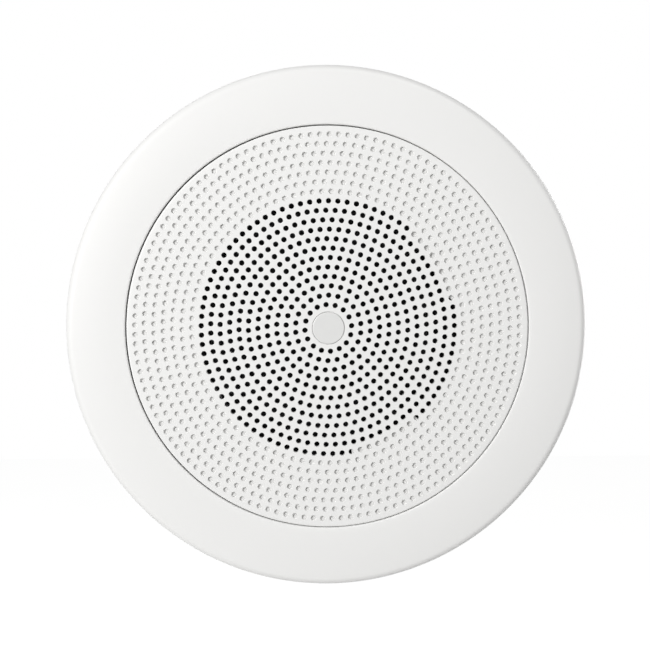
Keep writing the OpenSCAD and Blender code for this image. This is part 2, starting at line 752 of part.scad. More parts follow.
frame();
grille();
badge();
gasket();
basket();
top_plate();
magnet();
back_yoke();
spider();
surround();
cone();
dust_cap();
coil_former();
voice_coil();
tinsel_lead(1);  // tinsel_lead_1
tinsel_lead(2);  // tinsel_lead_2
terminal_block();
terminal_screws();
contact(1);  // contact_1
contact(2);  // contact_2
push_button(1, "red");  // button_red
push_button(2, "black");  // button_black
driver_screws();
rivets();
for (i = [1 : clip_count]) {
    clip_pin(i);
    clip_arm(i);
    clip_spring(i);
    clip_pad(i);
}
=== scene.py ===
"""Dresses a recessed loudspeaker: moulded frame, perforated grille, driver, clips and terminal."""
import math

import bmesh
import bpy
from bpy.props import FloatProperty, FloatVectorProperty, IntProperty, PointerProperty
from mathutils import Matrix, Vector


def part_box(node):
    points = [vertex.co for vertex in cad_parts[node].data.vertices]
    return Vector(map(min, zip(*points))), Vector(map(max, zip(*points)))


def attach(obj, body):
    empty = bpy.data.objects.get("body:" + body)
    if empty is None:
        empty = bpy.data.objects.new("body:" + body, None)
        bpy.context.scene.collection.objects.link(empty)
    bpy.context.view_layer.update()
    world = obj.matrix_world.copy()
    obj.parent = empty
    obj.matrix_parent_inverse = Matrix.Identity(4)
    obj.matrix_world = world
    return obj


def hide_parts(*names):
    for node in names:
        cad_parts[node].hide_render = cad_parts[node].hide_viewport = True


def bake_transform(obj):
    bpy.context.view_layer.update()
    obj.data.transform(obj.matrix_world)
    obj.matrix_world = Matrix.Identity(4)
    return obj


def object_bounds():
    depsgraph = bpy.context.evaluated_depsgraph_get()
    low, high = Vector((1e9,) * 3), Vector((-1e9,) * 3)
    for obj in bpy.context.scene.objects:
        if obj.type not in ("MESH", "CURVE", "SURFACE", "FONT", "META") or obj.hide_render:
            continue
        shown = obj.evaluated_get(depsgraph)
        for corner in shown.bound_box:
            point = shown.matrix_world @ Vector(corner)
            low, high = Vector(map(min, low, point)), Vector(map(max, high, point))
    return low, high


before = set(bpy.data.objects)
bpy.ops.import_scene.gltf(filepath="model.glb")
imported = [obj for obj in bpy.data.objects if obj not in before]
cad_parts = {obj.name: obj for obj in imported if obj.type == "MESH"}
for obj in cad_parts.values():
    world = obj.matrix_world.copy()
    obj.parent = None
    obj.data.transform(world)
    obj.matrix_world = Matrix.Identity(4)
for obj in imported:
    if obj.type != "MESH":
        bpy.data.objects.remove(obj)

bl_info = {
    "name": "Recessed Loudspeaker",
    "version": (1, 0, 0),
    "blender": (4, 5, 0),
    "location": "3D Viewport > Sidebar > Speaker",
    "description": "Builds the moulded, pressed and woven pieces of a recessed loudspeaker round its frame",
    "category": "Object",
}

CAD_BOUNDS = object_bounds()
MM = 0.001
TAU = 2 * math.pi
# Pieces are drawn face up, +z towards the room, and a quarter turn brings them into the row frame
QUARTER_TURN = Matrix.Rotation(math.pi / 2, 4, "X")
LATHE_STEPS = 256


def length(name, description, millimetres, least=0.0):
    return FloatProperty(name=name, description=description, default=millimetres * MM, min=least * MM,
                         unit="LENGTH", precision=5)


def colour(name, description, rgb):
    return FloatVectorProperty(name=name, description=description, default=rgb, min=0, max=1, subtype="COLOR")


def reach(node, axis):
    """How far a CAD node reaches from the speaker's axis, in millimetres."""
    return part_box(node)[1][axis] / MM


class SpeakerSizes(bpy.types.PropertyGroup):
    """Sizes of the moulded and turned pieces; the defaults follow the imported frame."""
    flange_radius: length("Flange radius", "Outer radius of the flange", reach("frame", 0))
    flange_height: length("Flange height", "Top of the flange's dome over its back face",
                          -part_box("frame")[0].y / MM)
    flange_edge: length("Flange edge", "Rounding of the flange's outer edge", 3.4)
    dome_radius: length("Dome radius", "Radius of the shallow dome across the flange", 150)
    collar_radius: length("Collar radius", "Outer radius of the collar behind the flange", 96)
    collar_length: length("Collar length", "Length of the collar behind the flange", 14)
    wall: length("Wall", "Wall of the moulded frame", 2.4)
    grille_radius: length("Grille radius", "Outer radius of the grille", 85.65)
    grille_gap: length("Grille gap", "Mean gap round the grille's edge", 0.38)
    grille_shift: length("Grille shift", "How far the grille sits off centre in its seat", 0.2)
    pin_radius: length("Clip pin circle", "Distance of the clip pins from the speaker's axis", 91)
    pin_depth: length("Clip pin depth", "Depth of the clip pins behind the flange", 25)
    arm_length: length("Clip arm", "Length of a clip's arm from its pin to the pad's centre", 26.5)
    clips: IntProperty(name="Clips", description="Number of sprung clips", default=3, min=2, max=4)


class GrilleSizes(bpy.types.PropertyGroup):
    """The rule of the grille's hole pattern and the form of its holes."""
    ring_pitch: length("Ring pitch", "Distance from one ring of holes to the next", 4)
    hole_diameter: length("Hole", "Diameter of each hole and dimple", 2.3)
    hole_edge: length("Hole edge", "Rounding of each hole's edge", 0.1)
    dimple_depth: length("Dimple depth", "Depth of the blind dimples", 1.0)
    thickness: length("Plate", "Thickness of the perforated plate", 2.2)
    first_ring: IntProperty(name="First ring", description="First ring of open holes", default=2, min=1)
    open_rings: IntProperty(name="Open rings", description="Number of rings with open holes", default=12,
                            min=1)
    blind_rings: IntProperty(name="Blind rings", description="Number of rings with dimples", default=7, min=0)
    seam_angle: FloatProperty(name="Seam", description="Direction in which one hole of every ring lies",
                              default=math.radians(73), subtype="ANGLE")
    badge_radius: length("Badge", "Radius of the badge in the middle", 7)


class SpeakerColours(bpy.types.PropertyGroup):
    """Colours of the finishes."""
    white: colour("White moulding", "Moulded white plastic of the frame and grille", (0.86, 0.857, 0.846))
    badge: colour("Badge", "Satin face of the badge", (0.70, 0.70, 0.69))
    black: colour("Black", "Black paint, rubber and plastic", (0.022, 0.022, 0.024))
    zinc: colour("Zinc", "Zinc plated steel", (0.60, 0.60, 0.575))
    ferrite: colour("Ferrite", "Sintered magnet", (0.055, 0.055, 0.06))
    cloth: colour("Spider cloth", "Resin-dipped cloth of the spider", (0.52, 0.33, 0.11))
    brass: colour("Brass", "Tinned brass strip", (0.76, 0.58, 0.26))
    copper: colour("Copper", "Lacquered copper wire", (0.70, 0.30, 0.12))
    red: colour("Red button", "Push button of the positive pole", (0.55, 0.02, 0.02))


class Graph:
    """Adds nodes to one tree: a plain value is set on its socket, and a socket is linked to it."""

    def __init__(self, tree):
        self.tree = tree
        tree.nodes.clear()

    def add(self, kind, inputs=None, **settings):
        node = self.tree.nodes.new(kind)
        for key, value in settings.items():
            setattr(node, key, value)
        for key, value in (inputs or {}).items():
            if isinstance(value, bpy.types.NodeSocket):
                self.tree.links.new(value, node.inputs[key])
            else:
                node.inputs[key].default_value = value
        return node

    def maths(self, operation, first, second=0.0, third=0.0):
        inputs = {0: first, 1: second, 2: third}
        return self.add("ShaderNodeMath", inputs, operation=operation).outputs[0]


# Mesh helpers

def piece(name, points, faces):
    """A new object from points and faces, welded, with its faces turned outwards."""
    mesh = bpy.data.meshes.new(name)
    mesh.from_pydata(points, [], faces)
    obj = bpy.data.objects.new(name, mesh)
    bpy.context.scene.collection.objects.link(obj)
    tidy(obj)
    return obj


def tidy(obj, weld=1e-7):
    work = bmesh.new()
    work.from_mesh(obj.data)
    bmesh.ops.remove_doubles(work, verts=work.verts, dist=weld)
    bmesh.ops.dissolve_degenerate(work, edges=work.edges, dist=1e-9)
    bmesh.ops.recalc_face_normals(work, faces=work.faces)
    work.to_mesh(obj.data)
    work.free()


def apply_modifiers(obj):
    """Turns the evaluated object into its plain mesh and drops the modifiers."""
    graph = bpy.context.evaluated_depsgraph_get()
    made = bpy.data.meshes.new_from_object(obj.evaluated_get(graph))
    obj.modifiers.clear()
    obj.data = made
    return obj


def combine(obj, other, operation="UNION"):
    """Solid boolean of two pieces; the second is used up."""
    cut = obj.modifiers.new("cut", "BOOLEAN")
    cut.operation, cut.object, cut.solver = operation, other, "MANIFOLD"
    apply_modifiers(obj)
    bpy.data.objects.remove(other)
    return obj


def soften(obj, width, segments=2, angle=40):
    """Rounds the sharp edges of a piece."""
    bevel = obj.modifiers.new("soften", "BEVEL")
    bevel.width, bevel.segments, bevel.limit_method = width, segments, "ANGLE"
    bevel.angle_limit, bevel.use_clamp_overlap = math.radians(angle), True
    return apply_modifiers(obj)


def join(name, objects):
    """One object from several, with their meshes side by side."""
    work = bmesh.new()
    for obj in objects:
        work.from_mesh(obj.data)
        bpy.data.objects.remove(obj)
    mesh = bpy.data.meshes.new(name)
    work.to_mesh(mesh)
    work.free()
    obj = bpy.data.objects.new(name, mesh)
    bpy.context.scene.collection.objects.link(obj)
    return obj


def turn(obj, matrix):
    obj.data.transform(matrix)
    return obj


def move(obj, x=0.0, y=0.0, z=0.0):
    """Moves a piece by millimetres."""
    return turn(obj, Matrix.Translation((x * MM, y * MM, z * MM)))


def settle(obj, material, nodes, body="housing", angle=32, placed=False):
    """Turns a finished piece into the row frame, paints it and lets it stand for its CAD nodes."""
    if not placed:
        obj.data.transform(QUARTER_TURN)
    obj.data.materials.clear()
    obj.data.materials.append(material)
    obj.data.polygons.foreach_set("material_index", [0] * len(obj.data.polygons))
    obj.data.polygons.foreach_set("use_smooth", [True] * len(obj.data.polygons))
    obj.data.set_sharp_from_angle(angle=math.radians(angle))
    if nodes:
        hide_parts(*nodes)
    if body:
        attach(obj, body)
    return obj


def paint(node, material):
    """Gives a CAD node that stays its procedural material."""
    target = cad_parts[node]
    target.data.materials.clear()
    target.data.materials.append(material)


def rounded(corners, steps=5):
    """Outline through corners (x, y, radius), in millimetres, with each corner rounded by an arc."""
    outline = []
    for k, (x, y, radius) in enumerate(corners):
        here = Vector((x, y))
        before = Vector(corners[k - 1][:2]) - here
        after = Vector(corners[(k + 1) % len(corners)][:2]) - here
        if radius == 0 or before.length == 0 or after.length == 0:
            outline.append((x, y))
            continue
        half = before.angle(after) / 2
        back = min(radius / math.tan(half), before.length * 0.49, after.length * 0.49)
        radius = back * math.tan(half)
        centre = here + (before.normalized() + after.normalized()).normalized() * radius / math.sin(half)
        start, end = here + before.normalized() * back - centre, here + after.normalized() * back - centre
        sweep = start.angle_signed(end)
        for step in range(steps + 1):
            arm = start.copy()
            arm.rotate(Matrix.Rotation(-sweep * step / steps, 2))
            outline.append((centre.x + arm.x, centre.y + arm.y))
    return outline


def lathe(name, outline, steps=LATHE_STEPS, closed=True):
    """Turns an outline of (radius, height), in millimetres, round the speaker's axis."""
    points, faces = [], []
    rows = len(outline)
    for k in range(steps):
        c, s = math.cos(TAU * k / steps), math.sin(TAU * k / steps)
        points += [(r * c * MM, r * s * MM, z * MM) for r, z in outline]
    for k in range(steps):
        here, there = k * rows, (k + 1) % steps * rows
        for row in range(rows if closed else rows - 1):
            after = (row + 1) % rows
            faces.append((here + row, there + row, there + after, here + after))
    return piece(name, points, faces)


def prism(name, outline, low, high):
    """Solid between two heights over an outline of (x, y), in millimetres."""
    count = len(outline)
    points = [(x * MM, y * MM, z * MM) for z in (low, high) for x, y in outline]
    faces = [tuple(range(count)), tuple(range(2 * count - 1, count - 1, -1))]
    faces += [(k, (k + 1) % count, (k + 1) % count + count, k + count) for k in range(count)]
    return piece(name, points, faces)


def upright(name, outline, thickness):
    """Plate in the (radius, height) plane, as thick as asked across the tangent."""
    plate = prism(name, outline, -thickness / 2, thickness / 2)
    return turn(plate, QUARTER_TURN)


def block(name, low, high, bevel=0.0, segments=2):
    (x0, y0, z0), (x1, y1, z1) = low, high
    box = prism(name, [(x0, y0), (x1, y0), (x1, y1), (x0, y1)], z0, z1)
    return soften(box, bevel * MM, segments) if bevel else box


def rod(name, radius, low, high, steps=48, edge=0.0):
    """Turned rod along the speaker's axis, with rounded or plain ends."""
    side = [(radius, low, edge), (radius, high, edge), (0, high, 0), (0, low, 0)]
    return lathe(name, rounded(side, 3), steps)


def at_angle(obj, degrees, rho=0.0, height=0.0):
    """Moves a piece out to a radius and height, then round the axis."""
    out = Matrix.Translation((rho * MM, 0, height * MM))
    return turn(obj, Matrix.Rotation(math.radians(degrees), 4, "Z") @ out)


def tube(name, path, radius, sides=12, side=Vector((0, 1, 0))):
    """Round wire along a path of millimetre points, closed at both ends."""
    points, faces = [], []
    line = [Vector(p) for p in path]
    for k, p in enumerate(line):
        ahead = (line[min(k + 1, len(line) - 1)] - line[max(k - 1, 0)]).normalized()
        across = ahead.cross(side).normalized()
        up = across.cross(ahead)
        for s in range(sides):
            a = TAU * s / sides
            points.append((p + radius * (across * math.cos(a) + up * math.sin(a))) * MM)
    for k in range(len(line) - 1):
        for s in range(sides):
            after = (s + 1) % sides
            faces.append((k * sides + s, k * sides + after, (k + 1) * sides + after, (k + 1) * sides + s))
    last = (len(line) - 1) * sides
    faces += [tuple(range(sides)), tuple(range(last, last + sides))]
    return piece(name, points, faces)


# Geometry Nodes

def new_tree(name, inputs):
    """An empty tree with named inputs and one geometry output."""
    tree = bpy.data.node_groups.new(name, "GeometryNodeTree")
    for label, kind, value in inputs:
        socket = tree.interface.new_socket(label, in_out="INPUT", socket_type="NodeSocket" + kind)
        if value is not None:
            socket.default_value = value
    tree.interface.new_socket("Geometry", in_out="OUTPUT", socket_type="NodeSocketGeometry")
    graph = Graph(tree)
    return graph, graph.add("NodeGroupInput").outputs


def end_tree(graph, geometry, material):
    """Realize Instances, Set Material and the output, which close every tree."""
    real = graph.add("GeometryNodeRealizeInstances", {"Geometry": geometry}).outputs[0]
    painted = graph.add("GeometryNodeSetMaterial", {"Geometry": real, "Material": material}).outputs[0]
    graph.add("NodeGroupOutput", {"Geometry": painted})
    return graph.tree


def ring_points(graph, given):
    """One point for every hole: each ring has the nearest whole number of holes to its own length."""
    rings = graph.add("GeometryNodeMeshLine", {"Count": given["Rings"], "Offset": (0, 0, 1)}).outputs[0]
    position = graph.add("GeometryNodeInputPosition").outputs[0]
    number = graph.add("ShaderNodeSeparateXYZ", {0: position}).outputs["Z"]
    middle = graph.maths("ADD", graph.maths("ADD", number, given["First Ring"]), 0.5)
    count = graph.maths("ROUND", graph.maths("MULTIPLY", middle, TAU))
    copies = graph.add("GeometryNodeDuplicateElements", {"Geometry": rings, "Amount": count}, domain="POINT")
    share = graph.maths("DIVIDE", copies.outputs["Duplicate Index"], count)
    angle = graph.maths("ADD", graph.maths("MULTIPLY", share, TAU), given["Seam Angle"])
    radius = graph.maths("MULTIPLY", middle, given["Ring Pitch"])
    place = graph.add("ShaderNodeCombineXYZ", {
        "X": graph.maths("MULTIPLY", radius, graph.maths("COSINE", angle)),
        "Y": graph.maths("MULTIPLY", radius, graph.maths("SINE", angle))}).outputs[0]
    return graph.add("GeometryNodeSetPosition", {"Geometry": copies.outputs[0], "Position": place}).outputs[0]


PATTERN = [("Ring Pitch", "Float", 0.004), ("First Ring", "Int", 2), ("Rings", "Int", 12),
           ("Seam Angle", "Float", 0.0)]
FORM, MATERIAL = ("Form", "Object", None), ("Material", "Material", None)


def drilled_face_tree():
    """A flat ring-shaped face with a round hole at every point of the pattern."""
    graph, given = new_tree("drilled_face", PATTERN + [
        ("Hole Radius", "Float", 0.001), ("Hole Sides", "Int", 16), ("Inner Radius", "Float", 0.0),
        ("Outer Radius", "Float", 0.08), ("Edge Sides", "Int", LATHE_STEPS), ("Height", "Float", 0.0),
        MATERIAL])
    circle = "GeometryNodeCurvePrimitiveCircle"
    hole = graph.add(circle, {"Resolution": given["Hole Sides"], "Radius": given["Hole Radius"]}).outputs[0]
    holes = graph.add("GeometryNodeInstanceOnPoints", {"Points": ring_points(graph, given), "Instance": hole})
    outer = graph.add(circle, {"Resolution": given["Edge Sides"], "Radius": given["Outer Radius"]}).outputs[0]
    inner = graph.add(circle, {"Resolution": given["Edge Sides"], "Radius": given["Inner Radius"]}).outputs[0]
    curves = graph.add("GeometryNodeJoinGeometry")
    real = graph.add("GeometryNodeRealizeInstances", {"Geometry": holes.outputs[0]}).outputs[0]
    for source in (outer, inner, real):
        graph.tree.links.new(source, curves.inputs[0])
    face = graph.add("GeometryNodeFillCurve", {"Curve": curves.outputs[0]}).outputs[0]
    lift = graph.add("ShaderNodeCombineXYZ", {"Z": given["Height"]}).outputs[0]
    raised = graph.add("GeometryNodeTransform", {"Geometry": face, "Translation": lift}).outputs[0]
    return end_tree(graph, raised, given["Material"])


def hole_form_tree():
    """The form of one hole, set at every point of the pattern."""
    graph, given = new_tree("hole_forms", PATTERN + [FORM, MATERIAL])
    form = graph.add("GeometryNodeObjectInfo", {"Object": given["Form"]}).outputs["Geometry"]
    forms = graph.add("GeometryNodeInstanceOnPoints", {"Points": ring_points(graph, given), "Instance": form})
    return end_tree(graph, forms.outputs[0], given["Material"])


def round_tree():
    """Copies of a form in equal steps round the speaker's axis."""
    graph, given = new_tree("round_the_axis", [
        FORM, ("Count", "Int", 4), ("Start", "Float", 0.0), MATERIAL])
    spots = graph.add("GeometryNodeMeshLine", {"Count": given["Count"], "Offset": (0, 0, 0)}).outputs[0]
    index = graph.add("GeometryNodeInputIndex").outputs[0]
    step = graph.maths("DIVIDE", TAU, given["Count"])
    angle = graph.maths("ADD", graph.maths("MULTIPLY", index, step), given["Start"])
    twist = graph.add("ShaderNodeCombineXYZ", {"Z": angle}).outputs[0]
    form = graph.add("GeometryNodeObjectInfo", {"Object": given["Form"]}).outputs["Geometry"]
    forms = graph.add("GeometryNodeInstanceOnPoints", {"Points": spots, "Instance": form, "Rotation": twist})
    return end_tree(graph, forms.outputs[0], given["Material"])


def row_tree():
    """Copies of a form along a straight line."""
    graph, given = new_tree("along_a_line", [
        FORM, ("Count", "Int", 4), ("Offset", "Vector", None), MATERIAL])
    spots = graph.add("GeometryNodeMeshLine", {"Count": given["Count"], "Offset": given["Offset"]}).outputs[0]
    form = graph.add("GeometryNodeObjectInfo", {"Object": given["Form"]}).outputs["Geometry"]
    forms = graph.add("GeometryNodeInstanceOnPoints", {"Points": spots, "Instance": form})
    return end_tree(graph, forms.outputs[0], given["Material"])


def grown(name, tree_maker, values, used=None):
    """Runs a tree with its inputs set, keeps the mesh and drops the modifier and the form."""
    tree = bpy.data.node_groups.get(tree_maker.__name__) or tree_maker()
    tree.name = tree_maker.__name__
    obj = bpy.data.objects.new(name, bpy.data.meshes.new(name))
    bpy.context.scene.collection.objects.link(obj)
    nodes = obj.modifiers.new("grow", "NODES")
    nodes.node_group = tree
    sockets = {s.name: s.identifier for s in tree.interface.items_tree if s.in_out == "INPUT"}
    for label, value in values.items():
        nodes[sockets[label]] = value
    apply_modifiers(obj)
    if used:
        bpy.data.objects.remove(used)
    return obj


def around(form, count, start, material=None):
    """Copies of a form in equal steps round the axis; the form is used up."""
    values = {"Form": form, "Count": count, "Start": math.radians(start)}
    if material:
        values["Material"] = material
    return grown(form.name + "_set", round_tree, values, form)


# Finishes

class Finish:
    """A Principled material whose patterns read the piece's own Object coordinates."""

    def __init__(self, name, base, roughness, metallic=0.0, **sockets):
        self.material = bpy.data.materials.new(name)
        self.material.use_nodes = True
        self.graph = Graph(self.material.node_tree)
        self.shader = self.graph.add("ShaderNodeBsdfPrincipled", {
            "Base Color": (*base, 1), "Roughness": roughness, "Metallic": metallic, **sockets})
        self.graph.add("ShaderNodeOutputMaterial", {"Surface": self.shader.outputs[0]})
        self.base = base
        self.place = self.graph.add("ShaderNodeTexCoord").outputs["Object"]
        self.height = None

    def link(self, source, target):
        self.graph.tree.links.new(source, target)

    def noise(self, scale, detail=2.0, stretch=None):
        where = self.place
        if stretch:
            where = self.graph.add("ShaderNodeMapping", {"Vector": where, "Scale": stretch}).outputs[0]
        inputs = {"Vector": where, "Scale": scale, "Detail": detail}
        return self.graph.add("ShaderNodeTexNoise", inputs).outputs["Fac"]

    def polar(self):
        """Radius from the speaker's axis and angle round it."""
        axis = self.graph.add("ShaderNodeSeparateXYZ", {0: self.place}).outputs
        angle = self.graph.maths("ARCTAN2", axis["Z"], axis["X"])
        square = self.graph.maths("ADD", self.graph.maths("MULTIPLY", axis["X"], axis["X"]),
                                  self.graph.maths("MULTIPLY", axis["Z"], axis["Z"]))
        return self.graph.maths("SQRT", square), angle

    def wave(self, value, turns):
        return self.graph.maths("SINE", self.graph.maths("MULTIPLY", value, turns))

    def mottle(self, field, amount, tint=(1, 1, 1)):
        """Varies the colour round its base between a darker and a lighter tone."""
        dark = [c * (1 - amount) for c in self.base]
        light = [min(1, c * (1 + amount) * t) for c, t in zip(self.base, tint)]
        return self.tone(field, (*dark, 1), light)

    def tone(self, field, first, second):
        """Mixes the base colour from a first tone, plain or linked, to a second one."""
        mix = self.graph.add("ShaderNodeMix", {0: field, 6: first, 7: (*second, 1)}, data_type="RGBA")
        self.link(mix.outputs[2], self.shader.inputs["Base Color"])
        return self

    def scuff(self, field, low, high):
        """Varies the roughness between two values."""
        spread = self.graph.add("ShaderNodeMapRange", {0: field, 3: low, 4: high}).outputs[0]
        self.link(spread, self.shader.inputs["Roughness"])
        return self

    def dust(self, radius, width, height, reach_up, share):
        """Paints shade into the colour: darkens it in a ring round the axis, at a radius and a height in
        millimetres.
        """
        across = self.graph.maths("COMPARE", self.polar()[0], radius * MM, width * MM)
        level = self.graph.add("ShaderNodeSeparateXYZ", {0: self.place}).outputs["Y"]
        along = self.graph.maths("COMPARE", level, height * MM, reach_up * MM)
        unshaded = self.shader.inputs["Base Color"].links[0].from_socket
        # Painted shade: inside the ring the colour falls to share times the base
        return self.tone(self.graph.maths("MULTIPLY", across, along), unshaded, [c * share for c in self.base])

    def bump(self, field, depth):
        """Adds relief of a real depth in millimetres to what the material has."""
        inputs = {"Height": field, "Distance": depth * MM, "Strength": 1.0}
        if self.height:
            inputs["Normal"] = self.height
        self.height = self.graph.add("ShaderNodeBump", inputs).outputs[0]
        self.link(self.height, self.shader.inputs["Normal"])
        return self


def moulded_white(name, base):
    """Spark-textured white plastic: a fine even grain, with faint cloudiness in tone and sheen, and painted
    shade in the seam round the grille.
    """
    f = Finish(name, base, 0.42, **{"Specular IOR Level": 0.42})
    f.mottle(f.noise(18, 3), 0.008).scuff(f.noise(60, 3), 0.36, 0.48)
    f.bump(f.noise(2600, 2), 0.006).bump(f.noise(240, 2), 0.004)
    # Painted shade: the walls down in the gap round the grille are darkened
    return f.dust(85.8, 0.85, -3.6, 1.6, 0.35)


def white_moulding(base):
    return moulded_white("white_moulding", base).material


def pierced_white(base):
    """The same white, with painted shade inside the grille's holes and dimples."""
    # Painted shade: darker inside the holes and dimples, below the grille's front face
    return moulded_white("pierced_white", base).dust(42, 41, -4.65, 1.65, 0.84).material


def satin_badge(base):
    """Satin disc with a fine turned grain."""
    f = Finish("satin_badge", base, 0.45, 0.2)
    radius, _ = f.polar()
    return f.mottle(f.noise(300, 2), 0.02).bump(f.wave(radius, TAU / (0.4 * MM)), 0.001).material


def black_paint(base):
    """Powder coat on pressed steel, with a slight orange peel."""
    f = Finish("black_paint", base, 0.36)
    f.mottle(f.noise(90, 3), 0.15).scuff(f.noise(140, 2), 0.30, 0.44)
    return f.bump(f.noise(700, 1), 0.025).material


def zinc_plate(base):
    """Bright zinc plating with a cloudy patina and fine drawing marks."""
    f = Finish("zinc_plate", base, 0.34, 1.0)
    f.mottle(f.noise(130, 4), 0.10, (1.03, 1.0, 0.92)).scuff(f.noise(260, 3), 0.26, 0.44)
    return f.bump(f.noise(900, 2, (1, 8, 1)), 0.006).material


def turned_zinc(base):
    """Zinc plated plate whose faces keep the marks of turning."""
    f = Finish("turned_zinc", base, 0.30, 1.0)
    radius, _ = f.polar()
    f.mottle(f.noise(70, 4), 0.09, (1.03, 1.0, 0.93)).scuff(f.noise(200, 2), 0.24, 0.40)
    return f.bump(f.wave(radius, TAU / (0.35 * MM)), 0.003).bump(f.noise(600, 2), 0.006).material


def sintered_ferrite(base):
    """Ground ceramic: dull, fine grained and a little speckled."""
    f = Finish("sintered_ferrite", base, 0.62)
    f.mottle(f.noise(520, 3), 0.35).scuff(f.noise(90, 2), 0.50, 0.72)
    return f.bump(f.noise(1400, 2), 0.02).bump(f.noise(210, 3), 0.03).material


def woven_cloth(base):
    """Resin-dipped cloth: threads cross at right angles, with stiff shiny high points."""
    f = Finish("woven_cloth", base, 0.58)
    axis = f.graph.add("ShaderNodeSeparateXYZ", {0: f.place}).outputs
    pitch = TAU / (0.7 * MM)
    weave = f.graph.maths("MULTIPLY", f.wave(axis["X"], pitch), f.wave(axis["Z"], pitch))
    f.mottle(f.graph.maths("MULTIPLY_ADD", weave, 0.5, 0.5), 0.25).scuff(f.noise(120, 2), 0.48, 0.66)
    return f.bump(weave, 0.05).material


def rubber(base):
    """Matt moulded rubber with a dusty bloom."""
    f = Finish("rubber", base, 0.62, **{"Sheen Weight": 0.08})
    f.mottle(f.noise(60, 3), 0.25).scuff(f.noise(180, 2), 0.52, 0.72)
    return f.bump(f.noise(1200, 2), 0.012).material


def pressed_paper(base):
    """Black pulp of the cone, with matted fibres pressed flat."""
    f = Finish("pressed_paper", base, 0.78)
    fibre = f.noise(900, 4, (1, 2.5, 1))
    return f.mottle(fibre, 0.35).bump(fibre, 0.05).bump(f.noise(160, 3), 0.04).material


def gasket_foam(base):
    """Closed-cell gasket foam with small open pores on its cut face."""
    f = Finish("gasket_foam", base, 0.9)
    cells = f.graph.add("ShaderNodeTexVoronoi", {"Vector": f.place, "Scale": 1300.0}).outputs["Distance"]
    return f.mottle(cells, 0.4).bump(cells, 0.08).material


def black_moulding(base):
    """Black plastic with a fine matt grain."""
    f = Finish("black_moulding", base, 0.46)
    f.mottle(f.noise(80, 2), 0.12).scuff(f.noise(200, 2), 0.40, 0.54)
    return f.bump(f.noise(1500, 2), 0.012).material


def glossy_moulding(name, base):
    """Polished push-button plastic with a faint flow mark."""
    f = Finish(name, base, 0.22, **{"Coat Weight": 0.2})
    f.mottle(f.noise(140, 2), 0.06).scuff(f.noise(320, 2), 0.17, 0.30)
    return f.bump(f.noise(220, 1), 0.006).material


def strip_metal(name, base, roughness=0.3):
    """Rolled strip or drawn wire with lines along its length."""
    f = Finish(name, base, roughness, 1.0)
    f.mottle(f.noise(200, 3), 0.12).scuff(f.noise(500, 2, (1, 1, 6)), roughness - 0.08, roughness + 0.12)
    return f.bump(f.noise(1500, 2, (1, 5, 1)), 0.005).material


def amber_film(base):
    """Thin amber film of the coil's former."""
    f = Finish("amber_film", base, 0.28)
    f.mottle(f.noise(200, 2), 0.10)
    return f.bump(f.noise(400, 2), 0.008).material


def wound_copper(base):
    """Lacquered copper wound turn on turn."""
    f = Finish("wound_copper", base, 0.25, 1.0)
    height = f.graph.add("ShaderNodeSeparateXYZ", {0: f.place}).outputs["Y"]
    turns = f.wave(height, TAU / (0.3 * MM))
    return f.mottle(f.noise(300, 2), 0.12).bump(turns, 0.08).material


def braided_tinsel(base):
    """Tinsel lead: fine copper strands plaited round a thread."""
    f = Finish("braided_tinsel", base, 0.42, 0.6)
    axis = f.graph.add("ShaderNodeSeparateXYZ", {0: f.place}).outputs
    pitch = TAU / (0.5 * MM)
    one = f.wave(f.graph.maths("ADD", axis["Z"], axis["X"]), pitch)
    other = f.wave(f.graph.maths("SUBTRACT", axis["Z"], axis["X"]), pitch)
    plait = f.graph.maths("MULTIPLY", one, other)
    return f.mottle(plait, 0.3).bump(plait, 0.06).material


# The finishes that start from each colour
FINISHES = {
    "white": (white_moulding, pierced_white), "badge": (satin_badge,), "ferrite": (sintered_ferrite,),
    "black": (black_paint, rubber, pressed_paper, gasket_foam, black_moulding),
    "zinc": (zinc_plate, turned_zinc), "cloth": (woven_cloth, amber_film),
    "copper": (wound_copper, braided_tinsel),
}
MAKERS = {maker.__name__: (maker, key) for key, makers in FINISHES.items() for maker in makers}


def finish(name):
    """The material of that name, made once from the colours that the user set."""
    made = bpy.data.materials.get(name)
    if made:
        return made
    colours = bpy.context.scene.speaker_colours
    if name in ("red_button", "black_button"):
        return glossy_moulding(name, colours.red if name == "red_button" else colours.black)
    if name in ("rolled_brass", "spring_wire"):
        steel = [c * 0.55 for c in colours.zinc]
        return strip_metal(name, colours.brass if name == "rolled_brass" else steel)
    maker, key = MAKERS[name]
    return maker(tuple(getattr(colours, key)))


# Shared measures, in millimetres and degrees

SEAT_HEIGHT = 3.8
GRILLE_LIFT = 0.6
DISH_RADIUS = 80.0
BAFFLE_FRONT, BAFFLE_BACK = -2.5, -5.0
OPENING_RADIUS, OPENING_FLAT, FLAT_TURN = 57.5, 55.0, 32.5
RIBS, RIB_TURN, RIB_THICK = 12, 15.0, 1.8
HOOKS, HOOK_WIDTH, HOOK_RHO, HOOK_THICK = 6, 7.0, 83.0, 1.6
SCREW_RHO = 61.6
# Direction in which the grille sits off centre
SHIFT_TURN = math.radians(-18)
# Start, end and slant of each stretch that a pad closes from behind, in degrees
CLOSED_ARCS = ((13.5, 50.5, 1.8), (-79.3, -45.6, 0))
CLIP_START = 90.0
ARM_WIDTH, ARM_THICK, EAR_THICK, EAR_GAP = 10.0, 1.2, 2.5, 0.3
PAD_RADIUS, PAD_REST = 2.6, 0.3
WIRE, COIL_RADIUS, COIL_PITCH, COIL_TURNS = 0.9, 2.6, 1.3, 3
BLOCK_RHO, BLOCK_DEEP, BLOCK_WIDE, BLOCK_HIGH, POLE_PITCH = 67.4, 13.6, 28.0, 16.0, 14.0
FOOT_RHO, FOOT_OUT, FOOT_THICK = BLOCK_RHO + BLOCK_DEEP / 2 - 1, BLOCK_WIDE / 2 + 3, 2.5
